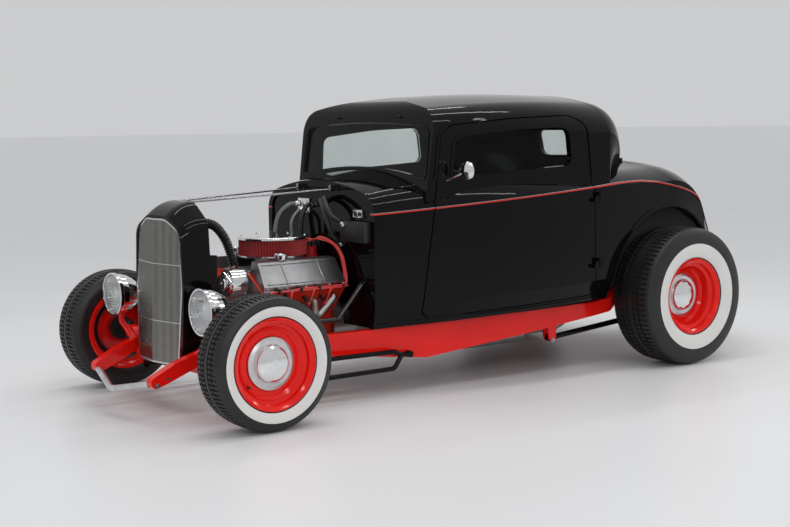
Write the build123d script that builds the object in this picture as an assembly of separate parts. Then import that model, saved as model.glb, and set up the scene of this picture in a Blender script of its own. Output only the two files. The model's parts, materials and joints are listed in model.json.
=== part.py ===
"""A chopped three-window coupe hot rod with an open V8, modelled piece by piece in millimetres.

X points forward, Y to the car's left and Z up from the floor. The origin is under the
middle of the car. Places along the car are given as distances behind the front axle.
"""
from build123d import *
import math
import os

# Overall layout
WHEELBASE = 2692
FRONT_REACH = 408
REAR_REACH = 850
FRONT_AXLE_X = (FRONT_REACH + WHEELBASE + REAR_REACH) / 2 - FRONT_REACH
RUN_GAP = 0.3
SEAT_GAP = 0.3
PANEL_GAP = 6
DECK_PIVOT_Z = 480
HINGE_Z = (565, 915)
HINGE_H = 28
STRAP_DEPTH = 26
STRAP_REACH = 40
STRAP_T = 8
TUB_Y = 545
TUB_T = 6
TUB_LAP = 2
WALL = 30
GLASS = 5

# Wheels and tyres
RIM_R = 207.5
FRONT_TYRE_R = 302
FRONT_TYRE_W = 203
FRONT_RIM_W = 178
FRONT_WHEEL_Y = 735
REAR_TYRE_R = 378
REAR_TYRE_W = 282
REAR_RIM_W = 250
REAR_WHEEL_Y = 700
DISC_T = 5
HUB_R = 62
DRUM_R = 140
CAP_RING_R = 120
CAP_DOME_R = 82
SPINDLE_R = 20

# Front axle and steering
KINGPIN_Y = 600
BOSS_R = 24
BOSS_H = 56
EAR_T = 18
AXLE_DROP = 105
AXLE_BEAM_W = 42
AXLE_BEAM_H = 52
TIE_ROD_REACH = 150
DRAG_LINK_REACH = 198
LINK_Z = 183
LINK_R = 11
LINK_END_R = 17
DISTRIBUTOR_D = 727
PLEATS = 72
MIRROR_D = 1168
MIRROR_R = 47
MIRROR_DEPTH = 18
PLEAT_H = 7
PITMAN_Y = 250
PITMAN_LENGTH = 150
PITMAN_EYE_R = 24
PITMAN_TOP_HALF = 20
PITMAN_FOOT_HALF = 12
PITMAN_T = 16

# Frame rails
RAIL_W = 50
RADIUS_ROD_R = 12
LINK_BAR_R = 15
CROSS_R = 30
HORN_PAD = 26

# Engine
CRANK_Z = 350
ENGINE_FRONT = 250
ENGINE_REAR = 745
COVER_FRONT = 262
COVER_REAR = 735
CLEANER_D = 504
CLEANER_R = 178
CLEANER_LOW_Z = 700
CLEANER_TOP_Z = 793
CLEANER_LID_T = 14

# Radiator shell, grille and lamps
SHELL_TOP_Z = 990
SHELL_LOW_Z = 208
SHELL_HALF_W = 262
SHELL_REAR = 4
SHELL_FRONT = -134
SHELL_LIP = 12
SHELL_DROP = 65
SHELL_MIDDLE = -60
SHELL_SIDE_IN = 20
GRILLE_PITCH = 9
GRILLE_BAR_W = 2.6
GRILLE_BAR_D = 11
GRILLE_V = 40
LAMP_Y = 453
LAMP_Z = 510
LAMP_FRONT = -165
LAMP_R = 108
LAMP_DEPTH = 165

# Body
FIREWALL = 780
SCREEN_LOW = 1049
SCREEN_LOW_Z = 1112
SCREEN_LEAN = 7.8
ARCH_R = 490
DOOR_HINGE = 2092
DOOR_HINGE_Y = 704
HINGE_R = 9
LID_HINGE = 2712
LID_HINGE_Z = 1120
LID_HINGE_YS = (-205, 180)
LID_BARREL = 24
LID_STRAP = 56
DOOR_IN = 430
OPEN_FOOT = 36
TAIL_LIMIT = 3600
ROOF_LIMIT = 1700
HALF_LIMIT = 900
SCREEN_FRAME_T = 34
OPEN_TURN = 4
HEADER_Z = 1446
HEADER_R = 100
HEADER_BACK = 405
HEADER_RISE = 54
BEAD_T = 4
BEAD_W = 12
BEAD_IN = 300
BELT_BEAD_W = 16
REVEAL_W = 16
SCREEN_RIM_W = 12
SCREEN_RIM_T = 4
COWL_LIP_W = 14

# Places of the running gear and fittings
RAIL_BEND = 60
CROSS_HALF = 45
CROSS_H = 40
LAMP_POST_D = -118
HORN_TIP_Z = 178
SPREADER_R = 16
SPREADER_LOW_Z = 130
REAR_BAR_HALF = 398
REAR_BAR_Z = 374
TANK_HALF = 335
ROD_EYE_D = 971
ROD_EYE_Y = 502
ROD_EYE_Z = 206
ROD_HIGH_Z = 232
ROD_LOW_Z = 134
LINK_BAR_Y = 500
LINK_PIN_D = 1914
LINK_EAR_R = 24
LINK_EAR_OUT = 24
LINK_BAR_Z = 190
LINK_BAR_AXLE_Z = 250
COIL_Y = 400
COIL_BACK = 80
COIL_TOP_Z = 478
REAR_TUBE_HALF = 556
REAR_STUB = 10
SPINDLE_REACH = 30
SPRING_HALF = 400
LEAF_COUNT = 4
SPRING_MID_Z = 258
SPRING_END_Z = 236
LEAF_T = 8
LEAF_W = 44
ENGINE_HALF_W = 140
VALLEY_Z = 540
PAN_LOW_Z = 168
PIPE_Y = 258
PIPE_Z = 200
TAIL_PIPE_Z = 262
OUTLET_R = 19
GRILLE_RIM = 7
RADIATOR_REAR = -6
RADIATOR_T = 64
GRILLE_LEAN = 13
STAY_R = 5
STAY_REAR_Y = 150
STAY_REAR_Z = 1018
STAY_FRONT_Y = 60
STAY_FRONT_Z = 984
FIREWALL_SET = 10
TUNNEL_R = 197
SHAFT_R = 38
SEAT_Z = 450
DASH_D = 1052
DASH_HALF = 466
DASH_T = 45
DASH_LOW_Z = 905
DASH_TOP_Z = 1045
FIREWALL_T = 5
FLOOR_HALF = 480
FLOOR_Z = 362
RAIL_TOP_Z = 378
TRUNK_Z = 600
TAIL_LAMP_D = 3470
TAIL_LAMP_Y = 310
TAIL_LAMP_Z = 524
TAIL_LAMP_R = 40
SEAT_HALF = 430
CUSHION_Z = 620
DRUM_DEPTH = 60
FRONT_DISH = 28
REAR_DISH = 12

# Frame rail stations: distance behind the front axle, outer face, top height, bottom height
RAIL = [
    (-350, 320, 206, 150),
    (-230, 328, 268, 196),
    (-60, 345, 326, 270),
    (90, 362, 330, 270),
    (300, 388, 332, 240),
    (583, 422, 333, 226),
    (1084, 495, 345, 174),
    (1700, 552, 356, 240),
    (2170, 566, 366, 290),
    (2330, 540, 374, 300),
    (2520, 500, 520, 430),
    (2950, 482, 540, 450),
    (3250, 436, 432, 354),
    (3520, 404, 402, 346),
]

# Lower body sections: pivot's distance, pivot's height, turn, foot height, foot half width,
# tuck height, belt half width, belt height, edge half width, edge height, crown height.
# Sections stand upright to the rear axle and then fan out about a bar above it, so that the
# deck curves down to the tail.
LOWER_FRONT = [
    (780, 0, 0, 343, 462, 430, 483, 900, 400, 1000, 1056),
    (1130, 0, 0, 352, 545, 460, 597, 935, 480, 1055, 1120),
    (1900, 0, 0, 380, 630, 490, 684, 985, 520, 1075, 1118),
    (2692, 0, 0, 412, 604, 560, 640, 1005, 440, 1080, 1108),
]
LOWER_TAIL = [
    (2692, 480, 0, 60, 604, 160, 640, 525, 440, 600, 628),
    (2692, 480, 34, 60, 590, 160, 604, 500, 340, 640, 680),
    (2692, 480, 64, 60, 575, 150, 562, 420, 290, 680, 735),
    (2692, 480, 92, 60, 560, 130, 545, 330, 260, 740, 800),
]
# Cab sections, in the same columns
CAB_FRONT = [
    (900, 0, 0, 930, 520, 960, 566, 1270, 470, 1400, 1440),
    (1180, 0, 0, 930, 560, 960, 592, 1285, 480, 1424, 1468),
    (2200, 0, 0, 930, 620, 960, 668, 1280, 450, 1440, 1486),
]
CAB_REAR = [
    (2200, 1010, 0, -80, 620, -50, 668, 270, 450, 430, 476),
    (2200, 1010, 34, 40, 620, 80, 610, 230, 400, 400, 462),
    (2200, 1010, 64, 40, 600, 80, 560, 190, 330, 350, 425),
    (2200, 1010, 94, 40, 590, 60, 548, 150, 280, 345, 405),
]
DOOR_OUTLINE = [
    (1004, 376), (1086, 1010), (1114, 1286), (1176, 1334), (1570, 1364), (1946, 1376),
    (2036, 1338), (2072, 1040), (2090, 418),
]
DOOR_RADII = [60, 400, 50, 80, 3000, 110, 60, 300, 45]
WINDOW_OUTLINE = [(1186, 1078), (1199, 1266), (1560, 1302), (1912, 1312), (1936, 1114)]
WINDOW_RADII = [16, 50, 2000, 60, 40]
# Raised lines on the body's side: the belt moulding and the rolled edge of the sill
BELT_LINE = [(774, 902), (1098, 926), (2052, 992), (2480, 1024), (2940, 930), (3190, 700)]
BELT_RADII = [3000, 3000, 1200, 420]
SILL_LINE = [(774, 360), (1130, 366), (1900, 392), (2260, 408)]
SILL_RADII = [2000, 2000]


def behind(distance):
    return FRONT_AXLE_X - distance


def at(distance, y, z):
    return Vector(behind(distance), y, z)


def block(d0, d1, y0, y1, z0, z1):
    """A box between two distances behind the front axle, two sides and two heights."""
    size = (abs(d1 - d0), abs(y1 - y0), abs(z1 - z0))
    centre = (behind((d0 + d1) / 2), (y0 + y1) / 2, (z0 + z1) / 2)
    return Pos(*centre) * Box(*size)


def rod(start, end, radius):
    """A round bar between two points."""
    a = Vector(*start)
    b = Vector(*end)
    plane = Plane(origin=a, z_dir=b - a)
    return extrude(plane * Circle(radius), (b - a).length)


def tube(points, radius, bend):
    """A round bar that follows a path with rounded corners."""
    path = FilletPolyline(*points, radius=bend)
    return sweep(Plane(origin=path @ 0, z_dir=path % 0) * Circle(radius), path)


def both(piece):
    """The piece with its mirror image on the right side."""
    return Compound(children=[piece, mirror(piece, about=Plane.XZ)])


def merged(pieces):
    result = pieces[0]
    for piece in pieces[1:]:
        result = result + piece
    return result


def side_face(outline, radii=None):
    """A face in the car's side view, from distances behind the front axle and heights."""
    points = [(behind(d), 0, z) for d, z in outline]
    if radii is None:
        return make_face(Polyline(*points, close=True))
    return make_face(FilletPolyline(*points, radius=radii, close=True))


def side_prism(outline, y0, y1, radii=None):
    face = Pos(0, y0, 0) * side_face(outline, radii)
    return extrude(face, y1 - y0, dir=(0, 1, 0))


def ribbon(line, radii, width):
    """A band of even width along a line in the side view, reaching out from inside the body."""
    high = []
    low = []
    for before, point, after in zip([line[0]] + line, line, line[1:] + [line[-1]]):
        run = math.dist(before, after)
        across = ((before[1] - after[1]) / run * width / 2, (after[0] - before[0]) / run * width / 2)
        high.append((point[0] + across[0], point[1] + across[1]))
        low.append((point[0] - across[0], point[1] - across[1]))
    ends = [1, 1]
    return side_prism(high + low[::-1], BEAD_IN, HALF_LIMIT, [1] + radii + ends + radii[::-1] + [1])


def two_sided(piece):
    return piece + mirror(piece, about=Plane.XZ)


def wheel_revolve(profile, y, z, d):
    """Turns a closed outline of (offset outward, radius) about a wheel's axis."""
    face = make_face(Polyline(*[(behind(d), y + out, z + r) for out, r in profile], close=True))
    return revolve(face, Axis((behind(d), y, z), (0, 1, 0)), 360)


def nose_revolve(profile, y, z):
    """Turns a closed outline of (distance behind the front axle, radius) about a line along X."""
    face = make_face(Polyline(*[(behind(d), y, z + r) for d, r in profile], close=True))
    return revolve(face, Axis((0, y, z), (1, 0, 0)), 360)


def save(name, piece):
    piece.label = name
    export_step(piece, "parts/" + name + ".step")


os.makedirs("parts", exist_ok=True)

# Body surfaces

def arch(section, inset):
    """One closed section of the body: flat foot, tucked sides, rounded shoulders and crown."""
    d, pivot_z, turn, foot_z, foot_w, tuck_z, belt_w, belt_z, edge_w, edge_z, crown_z = section
    edge = (edge_w, edge_z - inset)
    belt = (belt_w - inset, belt_z)
    tuck = (belt_w - 4 - inset, tuck_z)
    foot = (foot_w - inset, foot_z - (OPEN_FOOT if inset > 0 else 0))
    crown = ThreePointArc(edge, (0, crown_z - inset), (-edge[0], edge[1]))
    slope = crown.tangent_at(0)
    right = TangentArc(edge, belt, tangent=(-slope.X, -slope.Y))
    left = TangentArc((-edge[0], edge[1]), (-belt[0], belt[1]), tangent=(slope.X, -slope.Y))
    lines = [
        crown,
        left,
        Line((-belt[0], belt[1]), (-tuck[0], tuck[1])),
        Line((-tuck[0], tuck[1]), (-foot[0], foot[1])),
        Line((-foot[0], foot[1]), foot),
        Line(foot, tuck),
        Line(tuck, belt),
        right,
    ]
    if inset > 0 and turn > 90:
        turn = turn + OPEN_TURN
    angle = math.radians(turn)
    normal = (math.cos(angle), 0, math.sin(angle))
    plane = Plane(origin=(behind(d), 0, pivot_z), x_dir=(0, 1, 0), z_dir=normal)
    return plane * make_face(Wire(lines))


def body_form(sections, inset):
    return loft([arch(section, inset) for section in sections])


def screen_outline(set_back, inset):
    """The side view of all that lies behind the leaning windscreen plane, its header rolled back."""
    slope = math.tan(math.radians(SCREEN_LEAN))
    low = 900
    top = HEADER_Z - inset
    front = SCREEN_LOW + set_back
    return [
        (front + (low - SCREEN_LOW_Z) * slope, low),
        (front + (top - SCREEN_LOW_Z) * slope, top),
        (front + HEADER_BACK, top + HEADER_RISE),
        (front + HEADER_BACK, ROOF_LIMIT),
        (TAIL_LIMIT, ROOF_LIMIT),
        (TAIL_LIMIT, low),
    ]


def cab_form(inset, set_back):
    whole = body_form(CAB_FRONT, inset) + body_form(CAB_REAR, inset)
    radii = [1, HEADER_R - inset, 1, 1, 1, 1]
    return whole & side_prism(screen_outline(set_back, inset), -HALF_LIMIT, HALF_LIMIT, radii)


door_face = side_face(DOOR_OUTLINE, DOOR_RADII)
window_face = side_face(WINDOW_OUTLINE, WINDOW_RADII)
arch_centre = Pos(behind(WHEELBASE), 0, REAR_TYRE_R) * Rot(90, 0, 0)


def side_ring(face, width):
    """A prism over the rim just outside a face in the side view."""
    rim = offset(face, width) - face
    return extrude(Pos(0, BEAD_IN, 0) * rim, HALF_LIMIT - BEAD_IN, dir=(0, 1, 0))


lower_plain = body_form(LOWER_FRONT, 0) + body_form(LOWER_TAIL, 0)
lower_raised = body_form(LOWER_FRONT, -BEAD_T) + body_form(LOWER_TAIL, -BEAD_T)
arch_ring = arch_centre * (Cylinder(ARCH_R + BEAD_W, 2 * HALF_LIMIT) - Cylinder(ARCH_R - BEAD_W, 2 * HALF_LIMIT))
arch_ring = arch_ring & block(2000, 3600, BEAD_IN, HALF_LIMIT, LOWER_FRONT[-1][3], ROOF_LIMIT)
belt_band = ribbon(BELT_LINE, BELT_RADII, BELT_BEAD_W)
sill_band = ribbon(SILL_LINE, SILL_RADII, BEAD_W)
cowl_lip = block(FIREWALL, FIREWALL + COWL_LIP_W, -HALF_LIMIT, HALF_LIMIT, 0, ROOF_LIMIT) & lower_raised
lower = merged([lower_plain] + [two_sided(lower_raised & band) for band in (arch_ring, belt_band, sill_band)])
lower = lower + cowl_lip
lower_inner = body_form(LOWER_FRONT, WALL) + body_form(LOWER_TAIL, WALL)
drip_zone = block(1000, 2200, BEAD_IN, HALF_LIMIT, 1060, ROOF_LIMIT)
drip_ring = side_ring(door_face, REVEAL_W) & drip_zone
cab_rings = two_sided(cab_form(-BEAD_T, 0) & (drip_ring + side_ring(window_face, REVEAL_W)))
cab = cab_form(0, 0) + cab_rings
cab_inner = cab_form(WALL, SCREEN_FRAME_T)
lower_shell = lower - lower_inner - cab_inner
cab_shell = cab - cab_inner - lower
lean = math.radians(SCREEN_LEAN)
screen_plane = Plane(
    origin=(behind(SCREEN_LOW), 0, SCREEN_LOW_Z),
    x_dir=(0, 1, 0),
    z_dir=(math.cos(lean), 0, math.sin(lean)),
)
# Windscreen opening on its leaning plane: half width and height at the foot, at the head and in the middle
SCREEN_FOOT = (548, -42)
SCREEN_HEAD = (540, 214)
SCREEN_MIDDLE = (10, 238)
screen_edges = [
    ThreePointArc((-SCREEN_FOOT[0], SCREEN_FOOT[1]), (0, SCREEN_MIDDLE[0]), SCREEN_FOOT),
    Line(SCREEN_FOOT, SCREEN_HEAD),
    ThreePointArc(SCREEN_HEAD, (0, SCREEN_MIDDLE[1]), (-SCREEN_HEAD[0], SCREEN_HEAD[1])),
    Line((-SCREEN_HEAD[0], SCREEN_HEAD[1]), (-SCREEN_FOOT[0], SCREEN_FOOT[1])),
]
screen_face = make_face(Wire(screen_edges))
screen_face = fillet(screen_face.vertices().group_by(Axis.Y)[-1], 62)
screen_face = fillet(screen_face.vertices().group_by(Axis.Y)[0], 16)
screen_hole = extrude(screen_plane * screen_face, SCREEN_FRAME_T * 2, both=True)
screen_rim = extrude(screen_plane * (offset(screen_face, SCREEN_RIM_W) - screen_face), SCREEN_RIM_T)
screen_glass_plane = screen_plane.offset(-SCREEN_FRAME_T / 2)
screen_glass = extrude(screen_glass_plane * offset(screen_face, -SEAT_GAP), GLASS)

REAR_WINDOW = [(-235, 1145), (235, 1145), (222, 1290), (-222, 1290)]
rear_corners = [(behind(TAIL_LIMIT), y, z) for y, z in REAR_WINDOW]
rear_face = make_face(FilletPolyline(*rear_corners, radius=38, close=True))
rear_hole = extrude(rear_face, TAIL_LIMIT - 2350, dir=(1, 0, 0))
rear_glass_hole = extrude(offset(rear_face, -SEAT_GAP), TAIL_LIMIT - 2350, dir=(1, 0, 0))
glass_outside = cab_form(WALL / 2 - GLASS / 2, SCREEN_FRAME_T)
glass_layer = glass_outside - cab_form(WALL / 2 + GLASS / 2, SCREEN_FRAME_T)

# Doors

def door_cut(face):
    """A prism through the left side of the body."""
    return extrude(Pos(0, DOOR_IN, 0) * face, HALF_LIMIT - DOOR_IN, dir=(0, 1, 0))


door_hole = door_cut(door_face)
door_prism = door_cut(offset(door_face, -PANEL_GAP))
window_hole = door_cut(window_face)
window_glass = door_cut(offset(window_face, -SEAT_GAP))

door_low = (lower & door_prism) - lower_inner - cab_inner
door_left = door_low + (cab_shell & door_prism) - window_hole
hinge_axis = [behind(DOOR_HINGE), DOOR_HINGE_Y]


def hinge_half(low, strap_to):
    """One barrel of a door hinge with its strap to the panel."""
    barrel = Pos(hinge_axis[0], hinge_axis[1], low + HINGE_H / 2) * Cylinder(HINGE_R, HINGE_H)
    z_low = low + 4
    z_top = low + HINGE_H - 4
    strap = block(DOOR_HINGE, strap_to, DOOR_HINGE_Y - STRAP_T, DOOR_HINGE_Y + 2, z_low, z_top)
    foot_at = DOOR_HINGE + (strap_to - DOOR_HINGE) * 0.55
    foot = block(foot_at, strap_to, DOOR_HINGE_Y - STRAP_DEPTH, DOOR_HINGE_Y, z_low, z_top)
    return barrel + strap + foot


door_hinges = [hinge_half(z, DOOR_HINGE - STRAP_REACH) for z in HINGE_Z]
body_hinges = [hinge_half(z + HINGE_H + SEAT_GAP, DOOR_HINGE + STRAP_REACH) for z in HINGE_Z]
door_left = merged([door_left] + door_hinges)
door_glass_left = glass_layer & window_glass
save("door_left", door_left)
save("door_right", mirror(door_left, about=Plane.XZ))
save("door_glass_left", door_glass_left)
save("door_glass_right", mirror(door_glass_left, about=Plane.XZ))

# Deck lid and tail
lid_turn = math.radians(45)
lid_plane = Plane(
    origin=(behind(WHEELBASE), 0, DECK_PIVOT_Z),
    x_dir=(0, 1, 0),
    z_dir=(-math.sin(lid_turn), 0, math.cos(lid_turn)),
)
LID_OUTLINE = [(-372, -412), (372, -412), (262, 470), (-262, 470)]
lid_face = make_face(FilletPolyline(*LID_OUTLINE, radius=[60, 60, 110, 110], close=True))
lid_hole = extrude(lid_plane * lid_face, 1000)
lid_prism = extrude(lid_plane * offset(lid_face, -PANEL_GAP), 1000)
deck_lid = (lower & lid_prism) - lower_inner


def lid_hinge_half(side_y, strap_to):
    """One barrel of a lid hinge, lying along Y, with its strap and the strap's foot."""
    y0 = side_y + LID_BARREL / 2 - HINGE_R
    y1 = side_y + LID_BARREL / 2 + HINGE_R
    axis_from = at(LID_HINGE, side_y, LID_HINGE_Z)
    barrel = rod(axis_from, axis_from + Vector(0, LID_BARREL, 0), HINGE_R)
    strap = block(LID_HINGE, strap_to, y0, y1, LID_HINGE_Z - 3, LID_HINGE_Z + 4)
    foot_at = LID_HINGE + (strap_to - LID_HINGE) * 0.7
    foot = block(foot_at, strap_to, y0, y1, LID_HINGE_Z - 32, LID_HINGE_Z)
    return barrel + strap + foot


lid_hinges = [lid_hinge_half(y, LID_HINGE + LID_STRAP) for y in LID_HINGE_YS]
deck_hinges = [lid_hinge_half(y + LID_BARREL + SEAT_GAP, LID_HINGE - LID_STRAP) for y in LID_HINGE_YS]
deck_lid = merged([deck_lid] + lid_hinges)
save("deck_lid", deck_lid)

arch_hole = arch_centre * Cylinder(ARCH_R, 2 * HALF_LIMIT)
front_zone = block(700, 1500, -HALF_LIMIT, HALF_LIMIT, 0, ROOF_LIMIT)
body_shell = lower_shell - door_hole - mirror(door_hole, about=Plane.XZ) - lid_hole - arch_hole
dash_rim = block(DASH_D, DASH_D + 8, -HALF_LIMIT, HALF_LIMIT, DASH_LOW_Z, DASH_TOP_Z) & lower
dash_face = block(DASH_D, DASH_D + DASH_T, -DASH_HALF, DASH_HALF, DASH_LOW_Z, DASH_TOP_Z)
cowl = merged([body_shell & front_zone, dash_rim, dash_face])
save("cowl", cowl)
tub_drum = arch_centre * Cylinder(ARCH_R + TUB_LAP, 2 * HALF_LIMIT)
tub_bore = arch_centre * Cylinder(ARCH_R - TUB_T, 2 * HALF_LIMIT)
tub_zone = block(2000, 3400, TUB_Y, HALF_LIMIT, REAR_TYRE_R + 60, 1000)
tub_wall_zone = block(2000, 3400, TUB_Y - TUB_T, TUB_Y + 1, REAR_TYRE_R + 60, 1000)
tub = ((tub_drum - tub_bore) & tub_zone & lower_plain) + (tub_drum & tub_wall_zone)
right_hinges = [mirror(hinge, about=Plane.XZ) for hinge in body_hinges]
rear_body = merged([body_shell - front_zone] + body_hinges + right_hinges + deck_hinges)
rear_body = merged([rear_body, tub, mirror(tub, about=Plane.XZ)])
save("rear_body", rear_body)
roof = cab_shell - two_sided(door_hole) - screen_hole - rear_hole
roof = roof + (screen_rim - lower)
save("roof", roof)
cab_glass = Compound(children=[screen_glass, (glass_layer & rear_glass_hole).solid()])
save("cab_glass", cab_glass)

# Frame: two side rails cut from their side view and their plan, with crossmembers

def rail_side():
    top = [(d, top_z) for d, y, top_z, low_z in RAIL]
    low = [(d, low_z) for d, y, top_z, low_z in reversed(RAIL)]
    count = len(RAIL)
    radii = [HORN_PAD] + [RAIL_BEND] * (count - 2) + [8, 8] + [RAIL_BEND] * (count - 2) + [HORN_PAD]
    return side_prism(top + low, 0, HALF_LIMIT, radii)


def rail_plan():
    outer = [(behind(d), y) for d, y, top_z, low_z in RAIL]
    inner = [(x, y - RAIL_W) for x, y in reversed(outer)]
    face = make_face(Polyline(*[(x, y, 0) for x, y in outer + inner], close=True))
    return extrude(face, 700)


rail = rail_side() & rail_plan()


def rail_at(distance):
    """Outer face, top and bottom of the rail at a distance behind the front axle."""
    for first, second in zip(RAIL, RAIL[1:]):
        if first[0] <= distance <= second[0]:
            share = (distance - first[0]) / (second[0] - first[0])
            return [a + (b - a) * share for a, b in zip(first[1:], second[1:])]


def crossbar(distance, radius, height):
    reach = rail_at(distance)[0] - RAIL_W / 2
    return rod(at(distance, -reach, height), at(distance, reach, height), radius)


CROSS_LOW_Z = SPRING_MID_Z + LEAF_COUNT * LEAF_T + SEAT_GAP
front_reach = rail_at(0)[0] - RAIL_W / 2
front_cross = block(-CROSS_HALF, CROSS_HALF, -front_reach, front_reach, CROSS_LOW_Z, CROSS_LOW_Z + CROSS_H)
lamp_stand = tube(
    [at(LAMP_POST_D, rail_at(LAMP_POST_D)[0] - 20, rail_at(LAMP_POST_D)[1] - 12),
     at(LAMP_POST_D, LAMP_Y - 60, LAMP_Z - LAMP_R - 62),
     at(LAMP_POST_D, LAMP_Y, LAMP_Z - LAMP_R - 30),
     at(LAMP_POST_D, LAMP_Y, LAMP_Z - LAMP_R * 0.75)],
    14, 24)
link_ear_outline = [
    (1870, rail_at(1870)[1] - 30), (LINK_PIN_D - LINK_EAR_R, LINK_BAR_Z), (LINK_PIN_D, LINK_BAR_Z - LINK_EAR_R - 4),
    (LINK_PIN_D + LINK_EAR_R, LINK_BAR_Z), (1952, rail_at(1952)[1] - 30)]
link_ears = side_prism(link_ear_outline, LINK_BAR_Y - LINK_EAR_OUT, LINK_BAR_Y + LINK_EAR_OUT, [1, 12, 20, 12, 1])
link_gap = block(1860, 1962, LINK_BAR_Y - 16 - RUN_GAP, LINK_BAR_Y + 16 + RUN_GAP, LINK_BAR_Z - 40, LINK_BAR_Z + 26)
rod_seat_y = ROD_EYE_Y - 14 - SEAT_GAP
rod_bracket = rod(at(ROD_EYE_D, rail_at(ROD_EYE_D)[0] - 6, ROD_EYE_Z), at(ROD_EYE_D, rod_seat_y, ROD_EYE_Z), 20)
engine_mount = block(430, 520, ENGINE_HALF_W, rail_at(475)[0] - RAIL_W / 2, CRANK_Z - 90, CRANK_Z - 50)
one_side = merged([rail, lamp_stand, link_ears - link_gap, rod_bracket, engine_mount])
frame = merged([
    one_side,
    mirror(one_side, about=Plane.XZ),
    front_cross,
    crossbar(1455, CROSS_R - 4, 262),
    crossbar(1990, CROSS_R - 8, 290),
    crossbar(2930, CROSS_R - 6, 505),
    crossbar(3490, CROSS_R - 10, REAR_BAR_Z),
])
save("frame", frame)

horn_y = RAIL[0][1] - RAIL_W / 2
tip_r = SPREADER_R
front_bar = tube(
    [at(-334, horn_y - RAIL_W / 2, HORN_TIP_Z), at(-FRONT_REACH + tip_r, 20, SPREADER_LOW_Z),
     at(-FRONT_REACH + tip_r, -20, SPREADER_LOW_Z), at(-334, RAIL_W / 2 - horn_y, HORN_TIP_Z)], tip_r, 60)
tail_end = WHEELBASE + REAR_REACH - tip_r
rear_bar = rod(at(tail_end, -REAR_BAR_HALF, REAR_BAR_Z), at(tail_end, REAR_BAR_HALF, REAR_BAR_Z), tip_r)
front_bar = (front_bar - frame).solids().sort_by(SortBy.VOLUME)[-1]
rear_bar = (rear_bar - frame).solids().sort_by(SortBy.VOLUME)[-1]
save("spreader_bars", Compound(children=[front_bar, rear_bar]))

# Front axle, spring and steering knuckles
axle_z = FRONT_TYRE_R
beam_z = axle_z - AXLE_DROP
beam_points = [
    at(0, -(KINGPIN_Y - 20), axle_z), at(0, -(KINGPIN_Y - 50), axle_z), at(0, -470, beam_z),
    at(0, 470, beam_z), at(0, KINGPIN_Y - 50, axle_z), at(0, KINGPIN_Y - 20, axle_z),
]
beam_path = FilletPolyline(*beam_points, radius=26)
beam_section = Plane(origin=beam_path @ 0, z_dir=beam_path % 0) * RectangleRounded(AXLE_BEAM_H, AXLE_BEAM_W, 10)
axle_beam = sweep(beam_section, beam_path)
boss_left = Pos(behind(0), KINGPIN_Y, axle_z) * Cylinder(BOSS_R, BOSS_H)
boss_right = Pos(behind(0), -KINGPIN_Y, axle_z) * Cylinder(BOSS_R, BOSS_H)
perches = [block(-22, 22, y - 16, y + 16, beam_z, SPRING_END_Z - 4) for y in (-SPRING_HALF, SPRING_HALF)]


def spring_leaf(half, drop, layer):
    """One bowed leaf of the stack, from its half length and the drop of its ends."""
    z_mid = SPRING_MID_Z + layer * LEAF_T
    z_end = SPRING_MID_Z - drop + layer * LEAF_T
    low = ThreePointArc((0, -half, z_end), (0, 0, z_mid), (0, half, z_end))
    high = ThreePointArc((0, half, z_end + LEAF_T), (0, 0, z_mid + LEAF_T), (0, -half, z_end + LEAF_T))
    ends = [Line((0, half, z_end), (0, half, z_end + LEAF_T)), Line((0, -half, z_end + LEAF_T), (0, -half, z_end))]
    face = make_face(Wire([low, ends[0], high, ends[1]]))
    return Pos(behind(LEAF_W / 2), 0, 0) * extrude(face, LEAF_W, dir=(1, 0, 0))


spring_drop = SPRING_MID_Z - SPRING_END_Z
leaves = [spring_leaf(SPRING_HALF * share, spring_drop * share * share, layer)
          for layer, share in enumerate((1.0, 0.8, 0.58, 0.36)[:LEAF_COUNT])]
front_axle = merged([axle_beam, boss_left, boss_right] + perches)
save("front_axle", front_axle)
save("front_spring", merged(leaves))


def knuckle(side):
    """Ears above and below the axle's boss, a spindle outward and the steering arm behind."""
    y = KINGPIN_Y * side
    x = behind(0)
    low_ear = Pos(x, y, axle_z - BOSS_H / 2 - SEAT_GAP - EAR_T / 2) * Cylinder(BOSS_R, EAR_T)
    high_ear = Pos(x, y, axle_z + BOSS_H / 2 + SEAT_GAP + EAR_T / 2) * Cylinder(BOSS_R, EAR_T)
    plate_y = y + side * (BOSS_R + 8)
    plate_h = BOSS_H / 2 + EAR_T + SEAT_GAP
    plate = block(-26, 26, plate_y - side * 2, plate_y + side * 12, axle_z - plate_h, axle_z + plate_h)
    webs = [block(-16, 16, y, plate_y, ear.bounding_box().min.Z, ear.bounding_box().max.Z) for ear in (low_ear, high_ear)]
    spindle = rod(at(0, plate_y, axle_z), at(0, (FRONT_WHEEL_Y + SPINDLE_REACH) * side, axle_z), SPINDLE_R)
    reach = DRAG_LINK_REACH if side < 0 else TIE_ROD_REACH
    arm_z = LINK_Z + LINK_END_R + SEAT_GAP
    arm_drop = [at(0, y, axle_z - BOSS_H / 2 - EAR_T + 4), at(40, y, arm_z + 10), at(reach, y, arm_z + 10)]
    arm = tube(arm_drop, 9, 20)
    pads = [Pos(behind(d), y, arm_z + 6) * Cylinder(15, 12) for d in ((TIE_ROD_REACH, reach) if side < 0 else (TIE_ROD_REACH,))]
    return merged([low_ear, high_ear, plate, spindle, arm] + webs + pads)


save("knuckle_left", knuckle(1))
save("knuckle_right", knuckle(-1))


def link_end(d, y):
    return Pos(behind(d), y, LINK_Z) * Cylinder(LINK_END_R, LINK_END_R * 2)


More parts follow.
